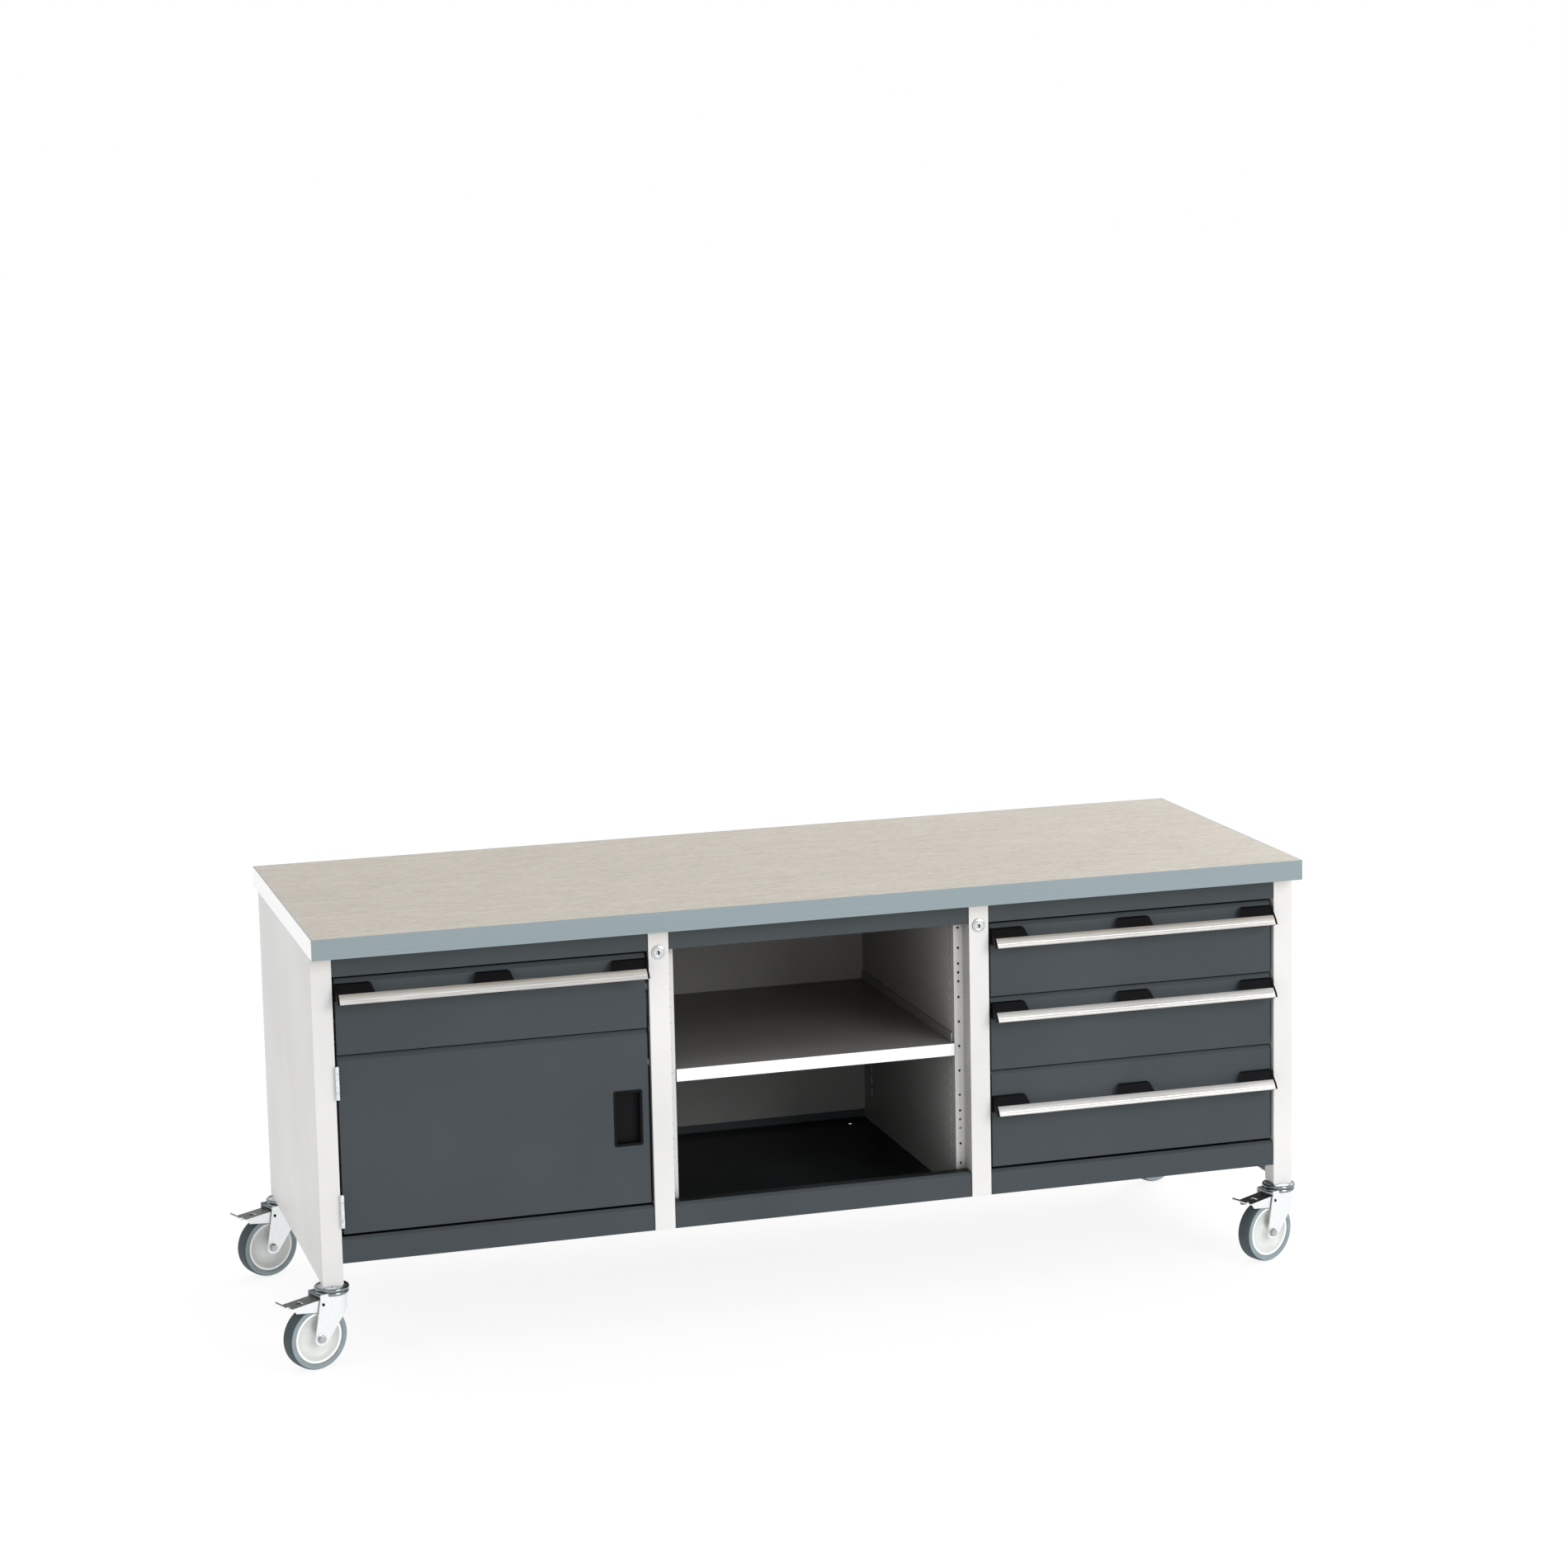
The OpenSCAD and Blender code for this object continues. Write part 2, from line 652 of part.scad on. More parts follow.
// bracket that widens from x0..x1 at the front's face by the given flares at the bar
module bracket(x0, x1, flare0, flare1) {
    reach = bar_low_reach;
    intersection() {
        run_x(x0 - flare0, x1 - x0 + flare0 + flare1) bracket_profile(-bar_t - 2 * snug);
        translate([0, 0, -2 * bar_low_drop]) linear_extrude(2 * bar_low_drop)
            polygon([[x0, over], [x0, 0], [x0 - flare0, -reach], [x0 - flare0, -reach - over],
                     [x1 + flare1, -reach - over], [x1 + flare1, -reach], [x1, 0], [x1, over]]);
    }
}

module drawer_handle_brackets(d) {
    x0 = -front_w / 2;
    color(black) bench() translate([d[0] * bay_pitch, front_y - snug / 2, handle_top(d)]) {
        bracket(-bracket_w / 2, bracket_w / 2, bracket_flare, bracket_flare);
        both_sides() {
            bracket(x0 + cap_t, x0 + cap_t + bracket_w, 0, bracket_flare);
            run_x(x0, cap_t) bracket_profile(0.5);
        }
    }
}

// ---------------------------------------------------------------- door

module round_rect(w, h, r) {
    square([w - 2 * r, h], center = true);
    square([w, h - 2 * r], center = true);
    for (x = [-1, 1], y = [-1, 1])
        translate([x * (w / 2 - r), y * (h / 2 - r)]) circle(r);
}

// rounded block with its near face at the given depth
module pull_block(y, l, inset) {
    translate([pull_x, 0, pull_z]) run_y(y, l)
        round_rect(pull_w - 2 * inset, pull_h - 2 * inset, max(pull_r - inset / 2, 1));
}

module door_panel() {
    color(paint_dark) bench() difference() {
        union() {
            translate([-bay_pitch, 0, 0]) front_pan(door_low, door_top, front_w, front_y);
            // catch for the locking bar, a strip fixed behind the door's folded edge
            box(door_x + front_w - 12, box_y + snug, door_lug + catch_rise,
                side_gap + 12 - lug_gap, catch_t, lug_h);
        }
        pull_block(front_y - over, sheet_t + 2 * over, pull_t + 1 - fit_clear);
    }
}

module door_pull() {
    color(black) bench() difference() {
        union() {
            pull_block(front_y - 1.2, 1.2, 0);
            pull_block(front_y - 1, pull_depth + 1, pull_t + 1);
        }
        pull_block(front_y - 2, pull_depth + 2 - pull_t, 2 * pull_t + 1);
    }
}

// tube round the hinge axis with the strip that joins it to its leaf
module knuckle(z, h, x_leaf) {
    difference() {
        union() {
            translate([hinge_x, hinge_y, z]) cylinder(r = knuckle_r, h = h);
            box(x_leaf, hinge_y, z, leaf_t, knuckle_r + hinge_strip + 0.2, h);
        }
        translate([hinge_x, hinge_y, z - over]) cylinder(r = hinge_pin_r + run_clear, h = h + 2 * over);
    }
}

module door_hinge_leaves() {
    x = door_x - leaf_t;
    color(zinc) bench()
        for (z = hinge_zs) {
            knuckle(z - knuckle_h / 2, knuckle_h, x);
            box(x, frame_y0, z - knuckle_h / 2, leaf_t, door_leaf_l, knuckle_h);
        }
}

module hinge_frame_leaves() {
    x = -bay_pitch - bay_w / 2;
    end_h = (hinge_h - knuckle_h) / 2 - gap;
    color(zinc) bench()
        for (z = hinge_zs) {
            knuckle(z - hinge_h / 2, end_h, x);
            knuckle(z + hinge_h / 2 - end_h, end_h, x);
            box(x, frame_y0, z - hinge_h / 2, leaf_t, frame_leaf_l, hinge_h);
        }
}

module hinge_pins() {
    color(zinc) bench()
        for (z = hinge_zs)
            translate([hinge_x, hinge_y, z - hinge_h / 2 - 0.5])
                cylinder(r = hinge_pin_r, h = hinge_h + 1);
}

// ---------------------------------------------------------------- locks

module lock_bezels() {
    color([0.85, 0.86, 0.87]) bench() both_sides() difference() {
        union() {
            rod_y(-post_x, frame_y0 - bezel_t, lock_z, bezel_r, bezel_t);
            rod_y(-post_x, frame_y0 - over, lock_z, bezel_r - bezel_step, bezel_l);
        }
        rod_y(-post_x, frame_y0 - 2 * bezel_t, lock_z, barrel_r + run_clear,
              2 * (bezel_t + bezel_l));
    }
}

// key barrel with its crank arm and crank pin
module lock_barrel() {
    face_y = frame_y0 - bezel_t - 0.5;
    arm_y = bar_y - crank_arm_t - 0.5;
    arm_half = crank_pin_r + 1;
    key_h = 9;
    key_w = 2;
    difference() {
        rod_y(-post_x, face_y, lock_z, barrel_r, arm_y - face_y);
        box(-post_x - key_w / 2, face_y - over, lock_z - key_h / 2, key_w, 2 + over, key_h);
    }
    box(-post_x - crank_r - arm_half, arm_y, lock_z - arm_half, crank_r + 2 * arm_half,
        crank_arm_t, 2 * arm_half);
    rod_y(-post_x - crank_r, arm_y, lock_z, crank_pin_r, bar_y + lock_bar_t + over - arm_y);
}

// flat bar with a window round the crank pin and one lug for each front it holds
module lock_bar(lugs) {
    half = post_w / 2 - sheet_t - 2;
    low = lugs[len(lugs) - 1];
    head = 20;
    strip_w = 11;
    slack = crank_pin_r + window_slack;
    difference() {
        union() {
            box(-post_x - half, bar_y, lock_z - head, 2 * half, lock_bar_t, head + 14);
            box(-post_x - half, bar_y, low, strip_w, lock_bar_t, lock_z - low);
            for (z = lugs)
                box(-post_x - lug_reach, bar_y, z, lug_reach - half + strip_w / 2, lock_bar_t,
                    lug_h);
        }
        box(-post_x - crank_r - crank_pin_r - 1, bar_y - over, lock_z - slack,
            crank_r + 2 * crank_pin_r + 2.2, lock_bar_t + 2 * over, 2 * slack);
    }
}

module left_lock_barrel() {
    color(zinc) bench() lock_barrel();
}

module left_lock_bar() {
    color(zinc) bench() lock_bar(left_lugs);
}

module right_lock_barrel() {
    color(zinc) bench() mirror([1, 0, 0]) lock_barrel();
}

module right_lock_bar() {
    color(zinc) bench() mirror([1, 0, 0]) lock_bar(right_lugs);
}

// ---------------------------------------------------------------- casters

// children are drawn in the caster's own frame: origin on the floor under the swivel
// axis, +X along the trail
module caster(side, end) {
    bench() translate([side * caster_x, end * caster_y, 0]) rotate([0, 0, caster_turn]) children();
}

// plate under the leg, plug inside it, head ring and kingpin
module caster_heads() {
    inner_w = post_w - 2 * sheet_t - 1;
    inner_d = post_d - 2 * sheet_t - 1;
    color(zinc) bench()
        for (s = [-1, 1], e = [-1, 1])
            translate([s * caster_x, e * caster_y, 0]) {
                box(-post_w / 2 + 1.5, -post_d / 2 + 1.5, caster_h, post_w - 3, post_d - 3, plate_t);
                box(-inner_w / 2, -inner_d / 2, leg_z, inner_w, inner_d, 22);
                translate([0, 0, crown_z + gap]) cylinder(r = head_r, h = head_t);
                translate([0, 0, crown_low - nut_h])
                    cylinder(r = kingpin_r, h = caster_h - crown_low + nut_h);
                translate([0, 0, crown_low - nut_h])
                    cylinder(r = kingpin_r + 4, h = nut_h - 0.5, $fn = 6);
            }
}

// side outline of the fork in (trail, Z): upright legs that taper to the axle and a
// rounded back
module fork_outline() {
    top = crown_z;
    polygon([[-fork_back, top], [-fork_back, top - 28], [-18, crown_low - 37], [-5, crown_low - 50],
             [trail - 12, axle_z - 11], [trail - 3, axle_z - fork_end_r],
             [trail + fork_end_r, axle_z], [trail - 1, crown_low - 7], [trail - 1, top]]);
    translate([trail, axle_z]) circle(fork_end_r);
}

// U outline of the fork seen from above, with its round end at the back
module fork_plan(inset) {
    r = fork_w / 2 - inset;
    translate([fork_w / 2 - fork_back, 0]) circle(r);
    translate([fork_w / 2 - fork_back, -r]) square([trail + fork_w, 2 * r]);
}

module fork(side, end) {
    color([0.83, 0.86, 0.88]) caster(side, end) difference() {
        union() {
            translate([0, 0, crown_low]) cylinder(r = head_r - 3, h = crown_t);
            intersection() {
                run_y(-fork_w, 2 * fork_w) fork_outline();
                linear_extrude(caster_h) difference() {
                    fork_plan(0);
                    fork_plan(fork_t);
                }
            }
        }
        translate([0, 0, crown_low - over])
            cylinder(r = kingpin_r + run_clear, h = crown_t + 2 * over);
        rod_y(trail, -fork_w, axle_z, axle_r + fit_clear, 2 * fork_w);
        rod_y(pivot_s, -fork_w, pivot_z, pedal_pin_r + run_clear, 2 * fork_w);
    }
}

// bolt through the fork with its head, its nut and a washer against each plate
module axle(side, end) {
    half = fork_w / 2;
    color(zinc) caster(side, end) {
        rod_y(trail, -half - 6, axle_z, axle_r, 2 * half + 13);
        for (y = [-half - 6.5, half + 1.5])
            translate([trail, y, axle_z]) rotate([-90, 0, 0]) cylinder(r = 7.5, h = 5, $fn = 6);
        for (y = [-half - 1.5, half])
            rod_y(trail, y, axle_z, 8.5, 1.5);
    }
}

// profile in (radius, half width) turned round the axle
module turned_wheel() {
    translate([trail, 0, axle_z]) rotate([90, 0, 0]) rotate_extrude() children();
}

module wheel_centre(side, end) {
    hub_w = fork_in - 0.5;
    half = wheel_w / 2;
    color([0.9, 0.9, 0.86]) caster(side, end) turned_wheel()
        polygon([[axle_r + run_clear, -hub_w], [12, -hub_w], [14, -half + 7], [rim_r - 9, -half + 7],
                 [rim_r - 5, -half + 3], [rim_r, -half + 3], [rim_r, half - 3], [rim_r - 5, half - 3],
                 [rim_r - 9, half - 7], [14, half - 7], [12, hub_w], [axle_r + run_clear, hub_w]]);
}

module tyre(side, end) {
    half = wheel_w / 2;
    r = wheel_d / 2;
    color([0.35, 0.4, 0.42]) caster(side, end) turned_wheel()
        polygon([[rim_r, -half + 2], [rim_r + 2, -half], [r - 7, -half], [r - 3, -half + 1.5],
                 [r - 0.8, -half + 4.5], [r, -half + 8.5], [r, half - 8.5], [r - 0.8, half - 4.5],
                 [r - 3, half - 1.5], [r - 7, half], [rim_r + 2, half], [rim_r, half - 2]]);
}

// folded pedal between the fork plates, with its pivot pin, brake shoe and tip bar
module brake_pedal(side, end) {
    half = fork_in - 2;
    z = pivot_z;
    s = pivot_s;
    tip_s = pedal_reach - 2.5;
    tip_z = z + 8.5;
    plate_end = pedal_reach - 14;
    color([0.83, 0.86, 0.88]) caster(side, end) difference() {
        union() {
            run_y(-half, 2 * half)
                polygon([[s - 2.5, z + 7.5], [s - 2.5, z + 9.5], [plate_end, z + 3.5],
                         [plate_end, z + 1.5]]);
            run_y(-tongue_w / 2, tongue_w)
                polygon([[plate_end - 3, z + 3.5], [tip_s, tip_z + 1], [tip_s, tip_z - 1],
                         [plate_end - 3, z + 1.5]]);
            for (y = [-half, half - 1.5])
                run_y(y, 1.5)
                    polygon([[s - 4, z + 9.5], [plate_end - 2, z + 2.5], [plate_end - 9, z - 7.5],
                             [s + 9, z - 14.5], [s - 4, z - 5]]);
            rod_y(s, -fork_w / 2 - 1, z, pedal_pin_r, fork_w + 2);
            rod_y(tip_s, -pedal_w / 2, tip_z, 2.5, pedal_w);
            box(s + 14, -half, z + 1.5, 10, 2 * half, 5);
        }
        // triangular opening near the tip
        translate([0, 0, z - 5]) linear_extrude(20)
            polygon([[s + 34, -9], [s + 34, 9], [s + 50, 0]]);
    }
}

worktop_board();
worktop_surface();
worktop_edging();
left_end_frame();
right_end_frame();
left_partition();
right_partition();
back_panels();
top_rails();
base_trays();
shelf();
shelf_clips();
cabinet_runners();
hinge_frame_leaves();
hinge_pins();
lock_bezels();
caster_heads();
drawer_box(left_drawer);  // left_drawer_box
drawer_front(left_drawer);  // left_drawer_front
drawer_handle_bar(left_drawer);  // left_drawer_handle_bar
drawer_handle_brackets(left_drawer);  // left_drawer_handle_brackets
drawer_box(upper_drawer);  // upper_drawer_box
drawer_front(upper_drawer);  // upper_drawer_front
drawer_handle_bar(upper_drawer);  // upper_drawer_handle_bar
drawer_handle_brackets(upper_drawer);  // upper_drawer_handle_brackets
drawer_box(middle_drawer);  // middle_drawer_box
drawer_front(middle_drawer);  // middle_drawer_front
drawer_handle_bar(middle_drawer);  // middle_drawer_handle_bar
drawer_handle_brackets(middle_drawer);  // middle_drawer_handle_brackets
drawer_box(lower_drawer);  // lower_drawer_box
drawer_front(lower_drawer);  // lower_drawer_front
drawer_handle_bar(lower_drawer);  // lower_drawer_handle_bar
drawer_handle_brackets(lower_drawer);  // lower_drawer_handle_brackets
door_panel();
door_pull();
door_hinge_leaves();
left_lock_barrel();
left_lock_bar();
right_lock_barrel();
right_lock_bar();
fork(-1, -1);  // front_left_fork
axle(-1, -1);  // front_left_axle
wheel_centre(-1, -1);  // front_left_wheel_centre
tyre(-1, -1);  // front_left_tyre
brake_pedal(-1, -1);  // front_left_brake_pedal
fork(1, -1);  // front_right_fork
axle(1, -1);  // front_right_axle
wheel_centre(1, -1);  // front_right_wheel_centre
tyre(1, -1);  // front_right_tyre
brake_pedal(1, -1);  // front_right_brake_pedal
fork(-1, 1);  // rear_left_fork
axle(-1, 1);  // rear_left_axle
wheel_centre(-1, 1);  // rear_left_wheel_centre
tyre(-1, 1);  // rear_left_tyre
brake_pedal(-1, 1);  // rear_left_brake_pedal
fork(1, 1);  // rear_right_fork
axle(1, 1);  // rear_right_axle
wheel_centre(1, 1);  // rear_right_wheel_centre
tyre(1, 1);  // rear_right_tyre
brake_pedal(1, 1);  // rear_right_brake_pedal
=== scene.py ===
"""Finishes, detail pieces, lights and camera for the mobile workbench.

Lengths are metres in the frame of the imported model: +Z is up and -Y is the front of the bench.
"""

from __future__ import annotations

import json
import logging
import math
from collections.abc import Callable, Iterable, Sequence
from dataclasses import dataclass
from enum import Enum

import bmesh
import bpy
from mathutils import Matrix, Vector

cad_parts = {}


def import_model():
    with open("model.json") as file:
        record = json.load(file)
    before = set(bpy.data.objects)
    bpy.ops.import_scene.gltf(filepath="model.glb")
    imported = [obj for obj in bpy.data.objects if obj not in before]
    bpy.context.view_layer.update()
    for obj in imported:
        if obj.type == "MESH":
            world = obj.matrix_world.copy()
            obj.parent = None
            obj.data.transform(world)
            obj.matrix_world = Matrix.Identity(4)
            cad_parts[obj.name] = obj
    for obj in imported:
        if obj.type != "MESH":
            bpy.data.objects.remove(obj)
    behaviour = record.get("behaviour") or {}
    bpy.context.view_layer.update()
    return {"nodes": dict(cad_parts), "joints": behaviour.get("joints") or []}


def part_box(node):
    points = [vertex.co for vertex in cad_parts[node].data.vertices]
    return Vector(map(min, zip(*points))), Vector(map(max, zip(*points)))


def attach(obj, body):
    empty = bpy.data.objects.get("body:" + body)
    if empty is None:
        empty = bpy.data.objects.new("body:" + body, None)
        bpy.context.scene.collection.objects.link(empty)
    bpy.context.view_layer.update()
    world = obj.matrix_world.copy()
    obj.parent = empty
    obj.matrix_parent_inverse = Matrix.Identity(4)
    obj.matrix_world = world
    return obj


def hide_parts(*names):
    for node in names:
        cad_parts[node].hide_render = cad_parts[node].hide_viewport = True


LOG = logging.getLogger("workbench")
MM = 0.001
BEVEL_ANGLE = 28.0  # degrees of turn from which an edge is rounded
WELD_REACH = 0.005 * MM
FLAT_ANGLE = 0.3  # degrees of turn up to which faces count as one
Colour = tuple[float, float, float]
Point2 = tuple[float, float]


class Corner(Enum):
    """The four casters, by the corner each one carries."""

    FRONT_LEFT = "front_left"
    FRONT_RIGHT = "front_right"
    REAR_LEFT = "rear_left"
    REAR_RIGHT = "rear_right"


class Drawer(Enum):
    """The four drawers, by the name that starts their pieces' names."""

    LEFT = "left_drawer"
    UPPER = "upper_drawer"
    MIDDLE = "middle_drawer"
    LOWER = "lower_drawer"


class Side(Enum):
    """The two locked posts."""

    LEFT = "left"
    RIGHT = "right"


class Brushing(Enum):
    """Stretch of a grain in X, Y and Z, as cells for each metre."""

    LONG_X = (14.0, 900.0, 900.0)
    EVEN = (600.0, 600.0, 600.0)


class Facing(Enum):
    """Ways a surface can face, as the axis and the sign of its normal, 0 for both."""

    UP = ("Z", 1.0)
    FRONT = ("Y", -1.0)
    ENDS = ("X", 0.0)


# ------------------------------------------------------------------ finishes


class ShaderSheet:
    """Node tree of one finish, with short calls for the nodes that the finishes share."""

    def __init__(self, name: str) -> None:
        """Starts a material with its plain shader.

        Args:
            name: Name of the material.
        """
        self.material = bpy.data.materials.new(name)
        self.material.use_nodes = True
        self.tree = self.material.node_tree
        self.shader = self.tree.nodes["Principled BSDF"]
        self.place = self.tree.nodes.new("ShaderNodeTexCoord").outputs["Object"]

    def set(self, **values: float | tuple[float, ...]) -> None:
        """Sets constants on the shader's own sockets.

        Args:
            values: Socket names, with _ for each space, and their values.
        """
        for name, value in values.items():
            self.shader.inputs[name.replace("_", " ")].default_value = value

    def add(self, kind: str, **inputs: object) -> bpy.types.Node:
        """Adds a node and fills its inputs with constants or links.

        Args:
            kind: Blender's node type.
            inputs: Socket names, with _ for each space, and a constant or a socket to link.

        Returns:
            The new node.
        """
        node = self.tree.nodes.new(kind)
        for name, value in inputs.items():
            socket = node.inputs[name.replace("_", " ")]
            if isinstance(value, bpy.types.NodeSocket):
                self.tree.links.new(value, socket)
            else:
                socket.default_value = value
        return node

    def grain(self, stretch: Sequence[float], detail: float = 2.0, shift: float = 0.0,
              wander: float = 0.0) -> bpy.types.NodeSocket:
        """Noise whose cells are stretched along the axes.

        Args:
            stretch: Cells for each metre along X, Y and Z.
            detail: Octaves of finer noise.
            shift: Offset that makes one grain differ from the next.
            wander: How far the cells are pulled out of line.

        Returns:
            The noise, from 0 to 1.
        """
        mapping = self.add("ShaderNodeMapping", Vector=self.place, Scale=tuple(stretch),
                           Location=(shift, shift * 1.7, shift * 0.6))
        noise = self.add("ShaderNodeTexNoise", Vector=mapping.outputs["Vector"], Scale=1.0,
                         Detail=detail, Roughness=0.55, Distortion=wander)
        return noise.outputs["Fac"]

    def cells(self, per_metre: float) -> bpy.types.NodeSocket:
        """A random grey for each crystal of a metal's surface.

        Args:
            per_metre: Crystals for each metre.

        Returns:
            The grey, from 0 to 1.
        """
        crystals = self.add("ShaderNodeTexVoronoi", Vector=self.place, Scale=per_metre)
        split = self.add("ShaderNodeSeparateColor", Color=crystals.outputs["Color"])
        return split.outputs[0]

    def facing(self, way: Facing) -> bpy.types.NodeSocket:
        """How much the surface faces one way, from 0 to 1.

        Args:
            way: The way to test for.

        Returns:
            The share.
        """
        axis, sign = way.value
        normal = self.add("ShaderNodeNewGeometry").outputs["Normal"]
        split = self.add("ShaderNodeSeparateXYZ", Vector=normal)
        signed = self.tree.nodes.new("ShaderNodeMath")
        signed.operation = "MULTIPLY" if sign else "ABSOLUTE"
        self.tree.links.new(split.outputs[axis], signed.inputs[0])
        signed.inputs[1].default_value = sign
        return self.span(signed.outputs[0], 0.35, 0.8, 0.0, 1.0)

    def painted_bay_shade(self, reach: float, deepest: float) -> bpy.types.NodeSocket:
        """Painted shade: ambient occlusion turned into a grey that darkens surfaces deep inside a
        bay, 1 outside.

        A face that looks along the bay needs a wider view of the room than a front face
        before it counts as open.

        Args:
            reach: How far away other surfaces still count as shelter.
            deepest: The grey of the painted shade on a surface deep inside.

        Returns:
            A grey of painted shade to multiply the colour by.
        """
        # painted shade: ambient occlusion becomes a darker colour in bays and recesses
        node = self.add("ShaderNodeAmbientOcclusion", Distance=reach)
        node.samples = 12
        view = node.outputs["AO"]
        front = self.tint(view, [(0.0, (deepest * 0.35,) * 3), (0.28, (deepest,) * 3),
                                 (0.46, (deepest * 1.9,) * 3), (0.64, (1.0,) * 3)])
        along = self.tint(view, [(0.0, (deepest * 0.35,) * 3), (0.3, (deepest * 0.8,) * 3),
                                 (0.68, (deepest * 1.3,) * 3), (0.85, (1.0,) * 3)])
        return self.mix(self.facing(Facing.FRONT), along, front)

    def span(self, value: bpy.types.NodeSocket, from_low: float, from_high: float, low: float,
             high: float) -> bpy.types.NodeSocket:
        """Maps a range of values to another.

        Args:
            value: The value to map.
            from_low: Value that becomes low.
            from_high: Value that becomes high.
            low: Start of the new range.
            high: End of the new range.

        Returns:
            The mapped value, held inside the new range.
        """
        node = self.tree.nodes.new("ShaderNodeMapRange")
        self.tree.links.new(value, node.inputs["Value"])
        for name, number in (("From Min", from_low), ("From Max", from_high), ("To Min", low),
                             ("To Max", high)):
            node.inputs[name].default_value = number
        return node.outputs["Result"]

    def tint(self, value: bpy.types.NodeSocket, stops: Sequence[tuple[float, Colour]]
             ) -> bpy.types.NodeSocket:
        """Colours a value through a ramp.

        Args:
            value: The value to colour.
            stops: Positions from 0 to 1 with their colours.

        Returns:
            The colour.
        """
        node = self.add("ShaderNodeValToRGB", Fac=value)
        ramp = node.color_ramp
        while len(ramp.elements) < len(stops):
            ramp.elements.new(0.5)
        for element, (position, colour) in zip(ramp.elements, stops):
            element.position = position
            element.color = (*colour, 1.0)
        return node.outputs["Color"]

    def mix(self, share: bpy.types.NodeSocket | float, first: object, second: object,
            way: str = "MIX") -> bpy.types.NodeSocket:
        """Mixes two colours.

        Args:
            share: Share of the second colour.
            first: Colour or socket.
            second: Colour or socket.
            way: How the second colour goes over the first.

        Returns:
            The mixed colour.
        """
        node = self.tree.nodes.new("ShaderNodeMix")
        node.data_type = "RGBA"
        node.blend_type = way
        for socket, value in ((node.inputs["Factor"], share), (node.inputs[6], first),
                              (node.inputs[7], second)):
            if isinstance(value, bpy.types.NodeSocket):
                self.tree.links.new(value, socket)
            else:
                socket.default_value = value if isinstance(value, float) else (*value, 1.0)
        return node.outputs[2]

    def colour(self, socket: bpy.types.NodeSocket) -> None:
        """Links the base colour."""
        self.tree.links.new(socket, self.shader.inputs["Base Color"])

    def roughness(self, socket: bpy.types.NodeSocket) -> None:
        """Links the roughness."""
        self.tree.links.new(socket, self.shader.inputs["Roughness"])

    def relief(self, height: bpy.types.NodeSocket, depth: float, strength: float) -> None:
        """Links a bump.

        Args:
            height: Height of the surface, from 0 to 1.
            depth: Height in metres that 1 stands for.
            strength: Share of the bump that shows.
        """
        bump = self.add("ShaderNodeBump", Height=height, Distance=depth, Strength=strength)
        self.tree.links.new(bump.outputs["Normal"], self.shader.inputs["Normal"])


def shaded(colour: Colour, factor: float) -> Colour:
    """The colour made darker or lighter by a factor."""
    return tuple(min(1.0, c * factor) for c in colour)


@dataclass(frozen=True)
class Finish:
    """What every finish has: its name, its slot in the record, and its plain values."""

    name: str
    slot: str
    colour: Colour
    roughness: float
    specular: float = 0.5

    def material(self) -> bpy.types.Material:
        """The finish's material, made the first time it is asked for.

        Returns:
            The material.
        """
        made = bpy.data.materials.get(self.name)
        if made is not None:
            return made
        sheet = ShaderSheet(self.name)
        sheet.set(Specular_IOR_Level=self.specular, Roughness=self.roughness)
        self.draw(sheet)
        return sheet.material

    def draw(self, sheet: ShaderSheet) -> None:
        """Draws the finish's own pattern.

        Args:
            sheet: The material's node tree.
        """
        raise NotImplementedError


@dataclass(frozen=True)
class PowderCoat(Finish):
    """Stoved powder coat: an even colour over a fine pebbled skin, in faint clouds, darkened with
    painted shade inside bays when a shade reach is set.
    """

    pebble: float = 1.3 * MM
    drift: float = 0.05
    shade_reach: float = 0.0
    shade_grey: float = 0.3
    open_front: bool = False

    def draw(self, sheet: ShaderSheet) -> None:
        """Draws the clouds, the gloss that goes with them, the painted shade in bays and the
        pebbled skin.
        """
        cloud = sheet.grain((3.0, 3.0, 3.0), detail=3.0)
        low, high = shaded(self.colour, 1 - self.drift), shaded(self.colour, 1 + self.drift)
        coat = sheet.tint(cloud, [(0.35, low), (0.65, high)])
        # painted shade: inside bays the coat is multiplied by the occlusion grey; with open_front,
        # front faces keep the plain coat
        if self.shade_reach > 0:
            inside = sheet.mix(1.0, coat, sheet.painted_bay_shade(self.shade_reach, self.shade_grey),
                               "MULTIPLY")
            coat = sheet.mix(sheet.facing(Facing.FRONT), inside, coat) if self.open_front \
                else inside
        sheet.colour(coat)
        cells = 1 / self.pebble
        skin = sheet.grain((cells, cells, cells), detail=1.0)
        sheet.roughness(sheet.span(skin, 0.3, 0.7, self.roughness - 0.04, self.roughness + 0.06))
        sheet.relief(skin, 0.03 * MM, 0.5)


